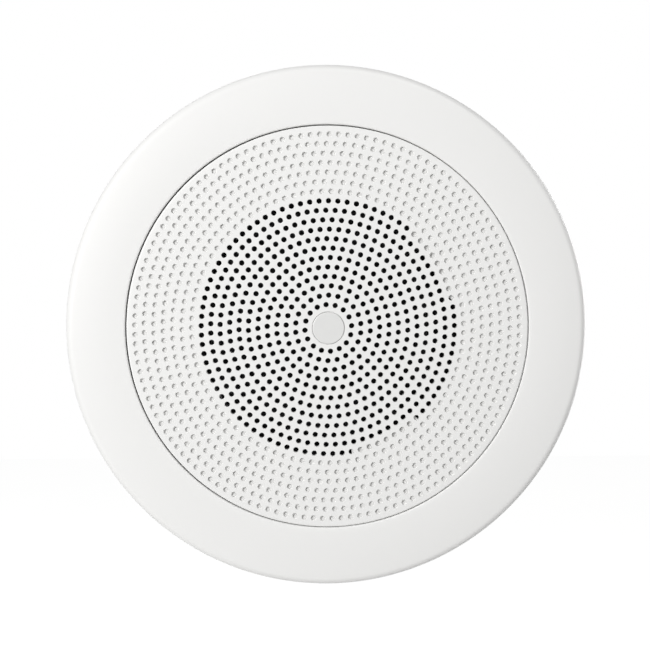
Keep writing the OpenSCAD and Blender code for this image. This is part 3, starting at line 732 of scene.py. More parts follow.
# Heights in the driver, from its rim to the back yoke
RIM_FRONT, LIP_FRONT, RIM_BACK = -6.5, -7.1, -8.5
SHELF, BASKET_BACK, STEEL = -30.5, -36.0, 1.4
PLATE_THICK, MAGNET_THICK = 5.0, 14.0
PLATE_BACK = BASKET_BACK - PLATE_THICK
MAGNET_BACK = PLATE_BACK - MAGNET_THICK
YOKE_BACK = MAGNET_BACK - PLATE_THICK
# Radii in the driver
BASKET_RADIUS, SEAL_RADIUS, PLATE_RADIUS, MAGNET_RADIUS = 66.0, 64.4, 35.0, 40.0
PLATE_BORE, MAGNET_BORE, POLE_RADIUS, VENT_RADIUS = 13.75, 17.05, 12.25, 4.0
NECK_RADIUS, CONE_RADIUS, CONE_WALL = 12.95, 45.3, 0.75


def in_mm(group):
    """A property group's lengths as millimetres, and its other values as they are."""
    values = {}
    for key in group.bl_rna.properties.keys():
        if key in ("rna_type", "name"):
            continue
        value = getattr(group, key)
        values[key] = value / MM if group.bl_rna.properties[key].unit == "LENGTH" else value
    return values


def closed_angle(s):
    """How far a closed arm leans out, so that its pad just clears the flange."""
    return math.asin((s["pin_depth"] - PAD_RADIUS - PAD_REST) / s["arm_length"])


def clip_angles(s):
    return [CLIP_START + 360 * k / s["clips"] for k in range(s["clips"])]


# The moulded frame

def bezel_top(s, seat):
    """Points of the dome and the rounded outer edge, from the seat outwards."""
    dome, crown, edge = s["dome_radius"], 95.0, s["flange_edge"]
    base = s["flange_height"] - dome

    def on_dome(radius, r):
        return base + math.sqrt((dome - radius) ** 2 - (r - crown) ** 2)

    inner_r, rim_r = 0.9, s["flange_radius"] - edge
    inner_x = seat + inner_r
    inner_z, rim_z = on_dome(inner_r, inner_x), on_dome(edge, rim_r)
    tilt_in = math.atan2(inner_x - crown, inner_z - base)
    tilt_out = math.atan2(rim_r - crown, rim_z - base)
    points = []
    for k in range(7):
        a = math.pi + (math.pi / 2 - tilt_in - math.pi) * k / 6
        points.append((inner_x + inner_r * math.cos(a), inner_z + inner_r * math.sin(a)))
    for k in range(1, 24):
        a = math.pi / 2 - (tilt_in + (tilt_out - tilt_in) * k / 24)
        points.append((crown + dome * math.cos(a), base + dome * math.sin(a)))
    for k in range(15):
        a = (math.pi / 2 - tilt_out) * (1 - k / 14)
        points.append((rim_r + edge * math.cos(a), rim_z + edge * math.sin(a)))
    return points


def frame_outline(s):
    seat = s["grille_radius"] + s["grille_gap"]
    wall, collar = s["wall"], s["collar_radius"]
    dish = DISH_RADIUS + wall
    top = bezel_top(s, seat)
    groove = {"out": (collar + 3, s["flange_radius"] - 4, 3.28), "in": (seat + 2.2, collar - 2.2, 3.66)}
    rest = [(s["flange_radius"], 0, 0.35)]
    low, high, deep = groove["out"]
    rest += [(high, 0, 0.2), (high, deep, 0.6), (low, deep, 0.6), (low, 0, 0.2)]
    rest += [(collar, 0, 0.2), (collar, -s["collar_length"], 0.7), (collar - 2.2, -s["collar_length"], 0.7)]
    low, high, deep = groove["in"]
    rest += [(high, deep, 0.8), (low, deep, 0.8), (low, 0, 0.3), (seat, 0, 0.2)]
    rest += [(seat, SEAT_HEIGHT - wall, 0.4), (dish, SEAT_HEIGHT - wall, 0.8), (dish, BAFFLE_BACK, 0.5)]
    rest += [(OPENING_RADIUS, BAFFLE_BACK, 0.3), (OPENING_RADIUS, BAFFLE_FRONT, 0.5)]
    channel = s["grille_radius"] - 0.8
    rest += [(DISH_RADIUS, BAFFLE_FRONT, 1.5), (DISH_RADIUS, SEAT_HEIGHT, 0.3), (channel, SEAT_HEIGHT, 0.1)]
    rest += [(channel, SEAT_HEIGHT - 1.7, 0.3), (seat, SEAT_HEIGHT - 1.7, 0.3)]
    first, last = top[0], top[-1]
    corners = [(*last, 0)] + rest + [(*first, 0)]
    return top[1:-1] + rounded(corners, 4)


def clip_ear(s):
    """Deep rib with the pin's boss, drawn in the plane of radius and height."""
    rho, depth, boss = s["pin_radius"], s["pin_depth"], 4.5
    dish, collar = DISH_RADIUS + s["wall"], s["collar_radius"]
    side = [(dish - 1, 1), (collar - 0.5, 1), (rho + boss, -depth)]
    side += [(rho + boss * math.cos(a), -depth + boss * math.sin(a))
             for a in [-math.pi * k / 12 for k in range(1, 12)]]
    side += [(rho - boss, -depth), (dish - 1, BAFFLE_BACK)]
    return soften(upright("ear", side, EAR_THICK), 0.3 * MM)


def frame_extras(s):
    """What is moulded onto the turned form: ribs, ears, stops, bosses and the opening's flats."""
    dish, collar = DISH_RADIUS + s["wall"], s["collar_radius"]
    rib = upright("rib", [(dish - 0.5, 1.2), (collar - 1, 1.2), (collar - 1, 3 - s["collar_length"]),
                          (dish - 0.5, BAFFLE_BACK + 1)], RIB_THICK)
    outer = upright("outer_rib", [(collar + 2.5, 0.5), (s["flange_radius"] - 3.5, 0.5),
                                  (s["flange_radius"] - 3.5, 3.5), (collar + 2.5, 3.5)], RIB_THICK)
    extras = [around(rib, RIBS, RIB_TURN), around(outer, RIBS, RIB_TURN)]
    reach_in = math.sqrt(OPENING_RADIUS ** 2 - OPENING_FLAT ** 2) + 1.2
    flat = block("flat", (OPENING_FLAT, -reach_in, BAFFLE_BACK),
                 (OPENING_RADIUS + 1.5, reach_in, BAFFLE_FRONT))
    extras.append(around(flat, 4, FLAT_TURN))
    boss = at_angle(rod("boss", 4, BAFFLE_FRONT - 0.5, BAFFLE_FRONT + 3.5, 40, 0.4), 0, SCREW_RHO)
    extras.append(around(boss, 4, FLAT_TURN))
    inside = ARM_WIDTH / 2 + EAR_GAP
    stop = s["pin_radius"] - COIL_RADIUS - WIRE / 2
    for angle in clip_angles(s):
        for side in (-1, 1):
            ear = move(clip_ear(s), 0, side * (inside + EAR_THICK / 2))
            extras.append(at_angle(ear, angle))
        wall = block("stop", (stop - 1.8, -inside - 0.5, 4 - s["pin_depth"]), (stop, inside + 0.5, -5), 0.25)
        extras.append(at_angle(wall, angle))
    for side in (-1, 1):
        foot = move(rod("foot", 3, BAFFLE_FRONT - 0.5, 0, 32, 0.4), FOOT_RHO, side * FOOT_OUT)
        extras.append(at_angle(foot, -90))
    return extras


def build_frame(s):
    body = lathe("frame_moulding", frame_outline(s))
    for extra in frame_extras(s):
        combine(body, extra)
    low, high = HOOK_RHO - 0.2, HOOK_RHO + HOOK_THICK + 0.2
    slot = block("slot", (low, -HOOK_WIDTH / 2 - 0.4, 0), (high, HOOK_WIDTH / 2 + 0.4, SEAT_HEIGHT + 1))
    combine(body, around(slot, HOOKS, 0), "DIFFERENCE")
    return body


# The grille

def hole_liner(radius, edge, top, bottom, sides):
    """Wall of one open hole, with a broken edge at the top."""
    rows = [(radius + edge, top), (radius, top - edge), (radius, bottom)]
    return lathe("liner", rows, sides, closed=False)


def dimple_cup(radius, edge, top, depth, sides):
    """Blind dimple: broken edge, slightly drawn-in wall and flat floor."""
    floor = top - depth
    rows = [(radius + edge, top), (radius, top - edge), (radius * 0.86, floor), (0, floor)]
    return lathe("cup", rows, sides, closed=False)


def grille_rim(radius, top, back, edge, rim):
    """Open strip from the front face's edge, round the rim, to the back face's edge."""
    rows = [(radius - edge + edge * math.sin(a), top - edge + edge * math.cos(a))
            for a in [math.pi / 2 * k / 8 for k in range(9)]]
    rows += [(radius, SEAT_HEIGHT + 0.25), (radius - 0.25, SEAT_HEIGHT), (radius - rim + 0.25, SEAT_HEIGHT)]
    rows += [(radius - rim, SEAT_HEIGHT + 0.25), (radius - rim, back)]
    return lathe("rim", rows, closed=False)


def grille_hook():
    under = SEAT_HEIGHT - 2.4
    out = HOOK_RHO + HOOK_THICK
    side = [(HOOK_RHO, SEAT_HEIGHT + 0.2), (out, SEAT_HEIGHT + 0.2), (out, under - 0.1),
            (out + 0.9, under - 0.4), (out, under - 3), (HOOK_RHO, under - 3)]
    return soften(upright("hook", side, HOOK_WIDTH), 0.15 * MM)


def back_pad(s, g, back, start, end, slant):
    """Pad behind a stretch of the outermost open ring, which shows pale through its holes."""
    middle = g["ring_pitch"] * (g["first_ring"] + g["open_rings"] - 0.5)
    inner, outer, steps = middle - 1.7, middle + 1.1, 24
    outline = []
    for radius, first, last in ((outer, start - slant, end), (inner, end, start + slant)):
        angles = [math.radians(first + (last - first) * k / steps) for k in range(steps + 1)]
        outline += [(radius * math.cos(a), radius * math.sin(a)) for a in angles]
    return prism("pad", outline, back - 1.2, back + g["thickness"] - 1.4)


def off_centre(obj, s):
    """Moves a piece to where the grille sits in its seat."""
    return move(obj, s["grille_shift"] * math.cos(SHIFT_TURN), s["grille_shift"] * math.sin(SHIFT_TURN))


def build_grille(s, g):
    material = finish("pierced_white")
    top = s["flange_height"] + GRILLE_LIFT
    back = top - g["thickness"]
    radius, edge, sides = g["hole_diameter"] / 2, g["hole_edge"], 16
    rim_edge, rim_width, recess, middle = 0.7, 3.6, g["badge_radius"] + 0.02, 2
    rib_half, rib_deep = 0.7, 2.2
    pattern = {"Ring Pitch": g["ring_pitch"] * MM, "First Ring": g["first_ring"], "Rings": g["open_rings"],
               "Seam Angle": g["seam_angle"], "Material": material}
    blind = dict(pattern, **{"First Ring": g["first_ring"] + g["open_rings"], "Rings": g["blind_rings"]})
    front = dict(pattern, **{
        "Rings": g["open_rings"] + g["blind_rings"], "Hole Radius": (radius + edge) * MM,
        "Inner Radius": (recess + edge) * MM, "Outer Radius": (s["grille_radius"] - rim_edge) * MM,
        "Height": top * MM})
    rear = dict(pattern, **{
        "Hole Radius": radius * MM, "Inner Radius": middle * MM,
        "Outer Radius": (s["grille_radius"] - rim_width) * MM, "Height": back * MM})
    parts = [grown("front_face", drilled_face_tree, front), grown("rear_face", drilled_face_tree, rear)]
    liner = hole_liner(radius, edge, top, back, sides)
    parts.append(grown("liners", hole_form_tree, dict(pattern, Form=liner), liner))
    cup = dimple_cup(radius - 0.1, edge + 0.1, top, g["dimple_depth"], sides)
    parts.append(grown("cups", hole_form_tree, dict(blind, Form=cup), cup))
    parts.append(grille_rim(s["grille_radius"], top, back, rim_edge, rim_width))
    floor = top - 0.5
    sunk = [(recess + edge, top), (recess, top - edge), (recess, floor), (0, floor)]
    parts.append(lathe("recess", sunk, closed=False))
    parts.append(lathe("rear_middle", [(middle, back), (0, back)], closed=False))
    plate = join("grille_plate", parts)
    tidy(plate, 2e-6)
    rings = []
    for number in (4, 5, g["first_ring"] + g["open_rings"]):
        inner, outer = g["ring_pitch"] * number - rib_half, g["ring_pitch"] * number + rib_half
        side = [(inner, back + 0.1, 0), (inner, back - rib_deep, 0.3), (outer, back - rib_deep, 0.3),
                (outer, back + 0.1, 0)]
        rings.append(lathe("stiffener", rounded(side, 3)))
    pads = [back_pad(s, g, back, *arc) for arc in CLOSED_ARCS]
    whole = join("grille_plate", [plate, around(grille_hook(), HOOKS, 0)] + rings + pads)
    return off_centre(whole, s)


def build_badge(s, g):
    top = s["flange_height"] + GRILLE_LIFT + 0.3
    radius = g["badge_radius"] - 0.2
    back = top - 0.8
    side = [(0, top, 0), (radius - 0.6, top, 0), (radius, top, 0.35), (radius, back, 0), (0, back, 0)]
    return off_centre(lathe("badge_disc", rounded(side, 5), 128), s)


# The driver

def build_basket():
    """Pressed basket: rolled rim, sloping wall with rounded windows, shelf and floor."""
    bore, cup, shelf, slope_end, lip = 14, 31.2, 37.2, 58, 54
    under, seat, floor = SHELF - STEEL, BASKET_RADIUS - STEEL, BASKET_BACK + STEEL
    side = [(bore, BASKET_BACK, 0.3), (cup, BASKET_BACK, 1.2), (cup, under, 1.0), (shelf, under, 1.6),
            (slope_end, RIM_BACK, 1.4), (BASKET_RADIUS, RIM_BACK, 1.0), (BASKET_RADIUS, RIM_FRONT, 0.4),
            (seat, RIM_FRONT, 0.3), (seat, LIP_FRONT, 0.2), (lip, LIP_FRONT, 0.3), (lip, RIM_BACK, 0.3),
            (slope_end - STEEL, RIM_BACK - 0.3, 0.6), (shelf - STEEL, SHELF, 0.8), (cup - STEEL, SHELF, 0.6),
            (cup - STEEL, floor, 0.6), (bore, floor, 0.3)]
    basket = lathe("basket_pressing", rounded(side, 4), 192)
    near, far, half = shelf + 0.1, slope_end + 0.1, 10
    outline = rounded([(near, -half, 3), (far, -half, 3), (far, half, 3), (near, half, 3)], 6)
    window = prism("window", outline, -29.3, -9.3)
    combine(basket, around(window, 8, -90), "DIFFERENCE")
    return screw_holes(basket, -9.5, -6)


def screw_holes(obj, low, high):
    """Drills a piece for the four driver screws."""
    hole = at_angle(rod("hole", 1.95, low, high, 32), 0, SCREW_RHO)
    return combine(obj, around(hole, 4, FLAT_TURN), "DIFFERENCE")


def flat_ring(name, bore, radius, back, front, bore_edge, edge):
    """Ring with rounded edges between two heights."""
    side = [(bore, back, bore_edge), (radius, back, edge), (radius, front, edge), (bore, front, bore_edge)]
    return lathe(name, rounded(side, 4))


def build_magnet_system():
    """Front plate, ring magnet and back yoke with its vented pole."""
    plate = flat_ring("front_plate", PLATE_BORE, PLATE_RADIUS, PLATE_BACK, BASKET_BACK, 0.3, 0.6)
    ring = flat_ring("ring_magnet", MAGNET_BORE, MAGNET_RADIUS, MAGNET_BACK, PLATE_BACK, 0.8, 1.4)
    side = [(VENT_RADIUS, YOKE_BACK, 1.6), (PLATE_RADIUS, YOKE_BACK, 1.0), (PLATE_RADIUS, MAGNET_BACK, 0.5),
            (POLE_RADIUS, MAGNET_BACK, 0.8), (POLE_RADIUS, BASKET_BACK, 0.5), (VENT_RADIUS, BASKET_BACK, 0.8)]
    return plate, ring, lathe("rear_yoke", rounded(side, 5))


def cone_height(r):
    """Front face of the curved cone."""
    neck_height, depth = -26.0, 17.4
    return neck_height + depth * max(0, (r - NECK_RADIUS) / (CONE_RADIUS - NECK_RADIUS)) ** 0.85


def build_cone():
    steps = 40
    radii = [NECK_RADIUS + (CONE_RADIUS - NECK_RADIUS) * (k / steps) ** 1.3 for k in range(steps + 1)]
    front = [(r, cone_height(r)) for r in radii]
    rear = [(r + 0.15, z - CONE_WALL) for r, z in reversed(front)]
    return lathe("paper_cone", front + rear, 192)


def build_dust_cap():
    base, rise = 17.0, 5.0
    ball = (base ** 2 + rise ** 2) / (2 * rise)
    foot = cone_height(base)
    reach_out = math.asin(base / ball)
    outer = [(ball * math.sin(a), foot + rise - ball + ball * math.cos(a)) for a in
             [reach_out * k / 24 for k in range(25)]]
    inner = [((ball - 0.6) * math.sin(a), foot + rise - ball + (ball - 0.6) * math.cos(a)) for a in
             [reach_out * 0.985 * k / 24 for k in range(24, -1, -1)]]
    return lathe("domed_cap", outer + inner, 128)


def build_surround():
    """Half roll with its inner lip on the cone and its outer lip under the gasket."""
    mid, roll, thick, z = 49.4, 4.4, 0.6, LIP_FRONT
    arc = [math.pi * k / 28 for k in range(29)]
    outer = [(mid - roll * math.cos(a), z + roll * math.sin(a)) for a in arc]
    inner = [(mid + (roll - thick) * math.cos(a), z + (roll - thick) * math.sin(a)) for a in arc]
    top = [(42.3, -8.0), (44.7, -8.0), (45.0, -7.7)] + outer + [(54.1, RIM_FRONT), (SEAL_RADIUS, RIM_FRONT)]
    under = [(SEAL_RADIUS, z), (53.4, z)] + inner[1:-1]
    under += [(45.6, z), (45.6, -8.2), (45.2, -8.6), (42.3, -8.6)]
    return lathe("rubber_surround", top + under, 192)


def build_spider():
    """Corrugated disc that centres the coil."""
    steps, waves, thick, z = 96, 4, 0.5, SHELF
    inner, outer, edge = NECK_RADIUS, 30.6, 34.0
    path = [(r, z + 1.1 * (1 - math.cos(TAU * waves * (r - inner) / (outer - inner))) / 2)
            for r in [inner + (outer - inner) * k / steps for k in range(steps + 1)]]
    top = [(inner, z + 1.9), (inner + thick, z + 1.9)]
    top += [(r, h + thick) for r, h in path[3:]] + [(edge, z + thick)]
    return lathe("woven_spider", top + [(edge, z)] + list(reversed(path)), 160)


def build_gasket():
    side = [(OPENING_RADIUS, RIM_FRONT, 0.2), (SEAL_RADIUS, RIM_FRONT, 0.2), (SEAL_RADIUS, BAFFLE_BACK, 0.4),
            (OPENING_RADIUS, BAFFLE_BACK, 0.4)]
    return screw_holes(lathe("foam_gasket", rounded(side, 3), 160), -7, -4)


def lead_path(side):
    """Route of a tinsel lead, smoothed through the points of its CAD node."""
    start, lead = 27.0, 0.6
    along = [(start, cone_height(start) - CONE_WALL - lead + 0.1), (29, -21.5), (32, -23.4), (36, -24),
             (40, -23.2), (44, -21), (48, -18), (51, -15.5), (53, -13.6), (54.6, -11.38), (56.2, -11.38)]
    fine = []
    for k in range(len(along) - 1):
        p0, p1, p2, p3 = (along[min(max(k + n, 0), len(along) - 1)] for n in (-1, 0, 1, 2))
        for step in range(4):
            t = step / 4
            fine.append(tuple(0.5 * (2 * b + (c - a) * t + (2 * a - 5 * b + 4 * c - d) * t * t
                                     + (3 * b - a - 3 * c + d) * t ** 3)
                              for a, b, c, d in zip(p0, p1, p2, p3)))
    fine.append(along[-1])
    half = side * POLE_PITCH / 2
    return [(r, half * (0.75 + 0.25 * min(1, (r - start) / 20)), z) for r, z in fine]


# Clips

def build_arm(s):
    """Folded steel arm: two cheeks and a web, drawn along +x from the pin."""
    length_mm, t = s["arm_length"], ARM_THICK
    outline = [(3.6 * math.cos(a), 3.6 * math.sin(a)) for a in
               [math.pi / 2 + math.pi * k / 16 for k in range(17)]]
    outline += [(6, -3.2), (length_mm - 7, -1.4), (length_mm - 5, -t / 2), (length_mm - 5, t / 2),
                (length_mm - 7, 1), (6, 1.6)]
    arm = block("clip_arm", (5.5, -ARM_WIDTH / 2, -t / 2), (length_mm, ARM_WIDTH / 2, t / 2))
    for side in (-1, 1):
        combine(arm, move(upright("cheek", outline, t), 0, side * (ARM_WIDTH - t) / 2))
    bore = turn(rod("bore", 1.55, -8, 8, 32), QUARTER_TURN)
    combine(arm, bore, "DIFFERENCE")
    near, far, half = 11, 18, 1.6
    outline = rounded([(near, -half, 1.5), (far, -half, 1.5), (far, half, 1.5), (near, half, 1.5)], 5)
    combine(arm, prism("slot", outline, -2, 2), "DIFFERENCE")
    return soften(arm, 0.14 * MM, 2, 50)


def build_pad(s):
    """Ribbed rubber pad on the arm's tip."""
    half, ridge = ARM_WIDTH / 2 + 1, 1.5
    side = [(0, -half)]
    count = int(2 * half / ridge)
    for k in range(count):
        low = -half + 2 * half * k / count
        for share, r in ((0.0, PAD_RADIUS - 0.35), (0.25, PAD_RADIUS), (0.75, PAD_RADIUS)):
            side.append((r, low + 2 * half * share / count))
    side += [(PAD_RADIUS - 0.35, half), (0, half)]
    pad = turn(lathe("clip_pad", side, 40), QUARTER_TURN)
    return move(pad, s["arm_length"])


def build_spring(s):
    """Torsion spring round the pin, with a leg on the frame and a leg on the arm."""
    lean = closed_angle(s)
    sweep = COIL_TURNS * TAU + math.pi / 2 + lean
    half, rows, leg = COIL_PITCH * sweep / TAU / 2, 120, 9.0
    path = [(-COIL_RADIUS, -half, leg * k / 6) for k in range(6, 0, -1)]
    for k in range(rows + 1):
        a = math.pi + sweep * k / rows
        path.append((COIL_RADIUS * math.cos(a), -half + 2 * half * k / rows, COIL_RADIUS * math.sin(a)))
    lift = COIL_RADIUS - ARM_THICK / 2 - WIRE / 2 - 0.02
    for k in range(1, 7):
        u, v = (leg + 3) * k / 6, -COIL_RADIUS + lift * k / 6
        path.append((u * math.cos(lean) - v * math.sin(lean), half, u * math.sin(lean) + v * math.cos(lean)))
    return tube("clip_spring", path, WIRE / 2, 12), half


def build_pin():
    reach_out = ARM_WIDTH / 2 + EAR_GAP + EAR_THICK
    shank, head = 1.5, 2.5
    side = [(0, -reach_out - 0.5, 0), (shank, -reach_out - 0.5, 0.3), (shank, reach_out, 0),
            (head, reach_out, 0.1), (head, reach_out + 1, 0.5), (0, reach_out + 1, 0)]
    return turn(lathe("clip_pin", rounded(side, 4), 48), QUARTER_TURN)


# Terminal and fasteners

def build_block():
    """Push terminal: a housing with two wire entries, two button wells and two feet."""
    low, high = BLOCK_RHO, BLOCK_RHO + BLOCK_DEEP
    back = BAFFLE_BACK - BLOCK_HIGH
    housing = block("terminal_housing", (low, -BLOCK_WIDE / 2, back),
                    (high, BLOCK_WIDE / 2, BAFFLE_BACK), 0.6, 3)
    middle = low + BLOCK_DEEP / 2
    for side in (-1, 1):
        near, far = sorted((side * (BLOCK_WIDE / 2 - 1), side * (BLOCK_WIDE / 2 + 6)))
        foot = block("foot", (middle - 4.5, near, BAFFLE_BACK - FOOT_THICK),
                     (middle + 2.5, far, BAFFLE_BACK), 0.4)
        combine(housing, foot)
    for side in (-1, 1):
        pole = side * POLE_PITCH / 2
        rho = low + 3.6
        entry = lathe("entry", [(0, back - 1), (2.9, back - 1), (2.3, back + 0.6), (1.6, back + 1.6),
                                (1.6, -10.8), (0, -10.8)], 32)
        combine(housing, move(entry, rho, pole), "DIFFERENCE")
        well = block("well", (low + 6.8, pole - 4.5, back - 1), (low + 12.8, pole + 4.5, back + 9.8))
        combine(housing, well, "DIFFERENCE")
        slot = block("slot", (low - 1, pole - 2, -10.8), (low + 3, pole + 2, -10))
        combine(housing, slot, "DIFFERENCE")
    return at_angle(housing, -90)


def build_button(side):
    """Push lever with a dished, ribbed head."""
    rho, pole = BLOCK_RHO + 9.8, side * POLE_PITCH / 2
    out = BAFFLE_BACK - BLOCK_HIGH - 4.5
    lever = block("lever", (rho - 2.8, pole - 4.3, out), (rho + 2.8, pole + 4.3, out + 11.5), 0.55, 3)
    groove = turn(rod("groove", 0.45, -5, 5, 16), Matrix.Rotation(math.pi / 2, 4, "Y"))
    groove = move(groove, rho, pole - 2.4, out)
    values = {"Form": groove, "Count": 4, "Offset": (0, 1.6 * MM, 0)}
    return at_angle(combine(lever, grown("grooves", row_tree, values, groove), "DIFFERENCE"), -90)


def pan_screw(name, shank_r, shank_len, head_r, head_h):
    """Cross-recessed screw: its head's seat at height 0, its shank upwards."""
    side = [(0, -head_h, 0), (head_r * 0.86, -head_h, head_h * 0.45), (head_r, -0.05, 0.2), (shank_r, 0, 0),
            (shank_r, shank_len - 1, 0.2), (0, shank_len, 0)]
    screw = lathe(name, rounded(side, 5), 40)
    slot = [(0, -head_h - 0.2), (head_r * 0.6, -head_h - 0.2), (head_r * 0.42, -head_h * 0.55),
            (0, -head_h * 0.4)]
    for squeeze in ((1, 0.3, 1, 1), (0.3, 1, 1, 1)):
        combine(screw, turn(lathe("slot", slot, 24), Matrix.Diagonal(squeeze)), "DIFFERENCE")
    return screw


# Operators

class SpeakerOperator(bpy.types.Operator):
    """Shared base: runs build() with the sizes in millimetres."""
    bl_options = {"REGISTER", "UNDO"}

    def execute(self, context):
        self.build(in_mm(context.scene.speaker_sizes), in_mm(context.scene.speaker_grille))
        return {"FINISHED"}


class SPEAKER_OT_stage(bpy.types.Operator):
    """Camera, floor, world and studio lights."""
    bl_idname = "speaker.stage"
    bl_label = "Stage"
    bl_options = {"REGISTER", "UNDO"}

    def execute(self, context):
        scene = context.scene
        scene.view_settings.view_transform = "Standard"
        add_camera(scene)
        add_world(scene)
        add_floor()
        add_lights()
        return {"FINISHED"}


VIEW_LEFT, VIEW_ABOVE = math.radians(2.1), math.radians(3.4)
VIEW_DISTANCE, FOCAL_PIXELS, PICTURE = 0.511, 1200.0, 650.0
# Where the grille's middle lies in the picture, right of and below its centre
MIDDLE_RIGHT, MIDDLE_BELOW = 2.95, 2.9
WHITE_STRENGTH, AMBIENT = 1.0, 0.135


def add_camera(scene):
    """Square on, a touch above and left of the speaker's axis, as the photograph has it."""
    data = bpy.data.cameras.new("camera")
    data.sensor_width = 36.0
    data.lens = FOCAL_PIXELS * data.sensor_width / PICTURE
    camera = bpy.data.objects.new("camera", data)
    scene.collection.objects.link(camera)
    middle = Vector((0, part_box("grille")[0].y, 0))
    flat = math.cos(VIEW_ABOVE)
    back = Vector((-math.sin(VIEW_LEFT) * flat, -math.cos(VIEW_LEFT) * flat, math.sin(VIEW_ABOVE)))
    step = VIEW_DISTANCE / FOCAL_PIXELS
    aim = middle + Vector((-MIDDLE_RIGHT * step, 0, MIDDLE_BELOW * step))
    camera.location = middle + back * VIEW_DISTANCE
    camera.rotation_euler = (aim - camera.location).to_track_quat("-Z", "Y").to_euler()
    scene.camera = camera


def seen_directly(graph):
    """1 for rays from the camera, a mirror or clear glass, and 0 for light on a surface."""
    rays = graph.add("ShaderNodeLightPath").outputs
    return graph.maths("MAXIMUM", rays["Is Camera Ray"],
                       graph.maths("MAXIMUM", rays["Is Glossy Ray"], rays["Is Transmission Ray"]))


def add_world(scene):
    world = bpy.data.worlds.new("studio")
    world.use_nodes = True
    graph = Graph(world.node_tree)
    seen = seen_directly(graph)
    gain = graph.maths("MULTIPLY_ADD", seen, WHITE_STRENGTH - AMBIENT, AMBIENT)
    sky = graph.add("ShaderNodeBackground", {"Color": (1, 1, 1, 1), "Strength": gain})
    graph.add("ShaderNodeOutputWorld", {"Surface": sky.outputs[0]})
    scene.world = world


def add_floor():
    """Pale floor below the speaker; it shows white and keeps a soft shadow."""
    half, drop = 3.0, 0.45
    z = CAD_BOUNDS[0].z - drop
    mesh = bpy.data.meshes.new("floor")
    corners = [(-half, -half, z), (half, -half, z), (half, half, z), (-half, half, z)]
    mesh.from_pydata(corners, [], [(0, 1, 2, 3)])
    floor = bpy.data.objects.new("floor", mesh)
    bpy.context.scene.collection.objects.link(floor)
    material = bpy.data.materials.new("pale_floor")
    material.use_nodes = True
    graph = Graph(material.node_tree)
    seen = seen_directly(graph)
    place = graph.add("ShaderNodeTexCoord").outputs["Object"]
    grain = graph.add("ShaderNodeTexNoise", {"Vector": place, "Scale": 6.0}).outputs["Fac"]
    tones = {0: grain, 6: (0.80, 0.80, 0.795, 1), 7: (0.84, 0.84, 0.835, 1)}
    tone = graph.add("ShaderNodeMix", tones, data_type="RGBA").outputs[2]
    matt = graph.add("ShaderNodeBsdfDiffuse", {"Color": tone})
    glow = graph.add("ShaderNodeEmission", {"Strength": graph.maths("MULTIPLY", seen, 0.86)})
    both = graph.add("ShaderNodeAddShader", {0: matt.outputs[0], 1: glow.outputs[0]})
    graph.add("ShaderNodeOutputMaterial", {"Surface": both.outputs[0]})
    mesh.materials.append(material)


# Name, place, size in metres and power in watts
LAMPS = (("key", (-0.88, -1.14, 0.36), 0.45, 16.5), ("fill", (0.3, -0.6, 0.65), 0.4, 1.85),
         ("rim", (0.75, 0.45, 0.1), 0.8, 5.0))


def add_lights():
    """A soft lamp from the left, a weak one from above and one behind for the far edge."""
    for name, place, size, power in LAMPS:
        data = bpy.data.lights.new(name, "AREA")
        data.shape, data.size, data.energy = "DISK", size, power
        lamp = bpy.data.objects.new(name, data)
        bpy.context.scene.collection.objects.link(lamp)
        lamp.location = place
        lamp.rotation_euler = (-Vector(place)).to_track_quat("-Z", "Y").to_euler()


class SPEAKER_OT_frame(SpeakerOperator):
    """Moulded flange, seat, baffle and collar."""
    bl_idname = "speaker.frame"
    bl_label = "Frame"

    def build(self, s, g):
        settle(build_frame(s), finish("white_moulding"), ["frame"])


class SPEAKER_OT_grille(SpeakerOperator):
    """Perforated grille and its badge."""
    bl_idname = "speaker.grille"
    bl_label = "Grille"

    def build(self, s, g):
        settle(build_grille(s, g), finish("pierced_white"), ["grille"])
        settle(build_badge(s, g), finish("satin_badge"), ["badge"])


class SPEAKER_OT_basket(SpeakerOperator):
    """Pressed basket and the gasket on its rim."""
    bl_idname = "speaker.basket"
    bl_label = "Basket"

    def build(self, s, g):
        settle(build_basket(), finish("black_paint"), ["basket"])
        settle(build_gasket(), finish("gasket_foam"), ["gasket"])


class SPEAKER_OT_magnet(SpeakerOperator):
    """Front plate, magnet and back yoke."""
    bl_idname = "speaker.magnet"
    bl_label = "Magnet System"

    def build(self, s, g):
        plate, ring, yoke = build_magnet_system()
        settle(plate, finish("turned_zinc"), ["top_plate"])
        settle(ring, finish("sintered_ferrite"), ["magnet"])
        settle(yoke, finish("turned_zinc"), ["back_yoke"])


class SPEAKER_OT_cone(SpeakerOperator):
    """Cone, dust cap, former and coil, which move together."""
    bl_idname = "speaker.cone"
    bl_label = "Cone"

    def build(self, s, g):
        settle(build_cone(), finish("pressed_paper"), ["cone"], "cone_unit", 60)
        settle(build_dust_cap(), finish("rubber"), ["dust_cap"], "cone_unit", 60)
        paint("coil_former", finish("amber_film"))
        paint("voice_coil", finish("wound_copper"))


class SPEAKER_OT_suspension(SpeakerOperator):
    """Surround, spider and tinsel leads, which reach from the housing to the cone."""
    bl_idname = "speaker.suspension"
    bl_label = "Suspension"

    def build(self, s, g):
        forms = [(build_surround(), "rubber", "surround", "surround_rubber", -8.6, -7.1),
                 (build_spider(), "woven_cloth", "spider", "spider_cloth", -28.6, -30.5)]
        for number, side in ((1, -1), (2, 1)):
            lead = at_angle(tube("tinsel_%d" % number, lead_path(side), 0.6, 10), -90)
            forms.append((lead, "braided_tinsel", "tinsel_lead_%d" % number, "tinsel", -19.0, -11.5))
        for obj, material, node, slot, near, far in forms:
            settle(obj, finish(material), [node], None, 60)
            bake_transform(obj)


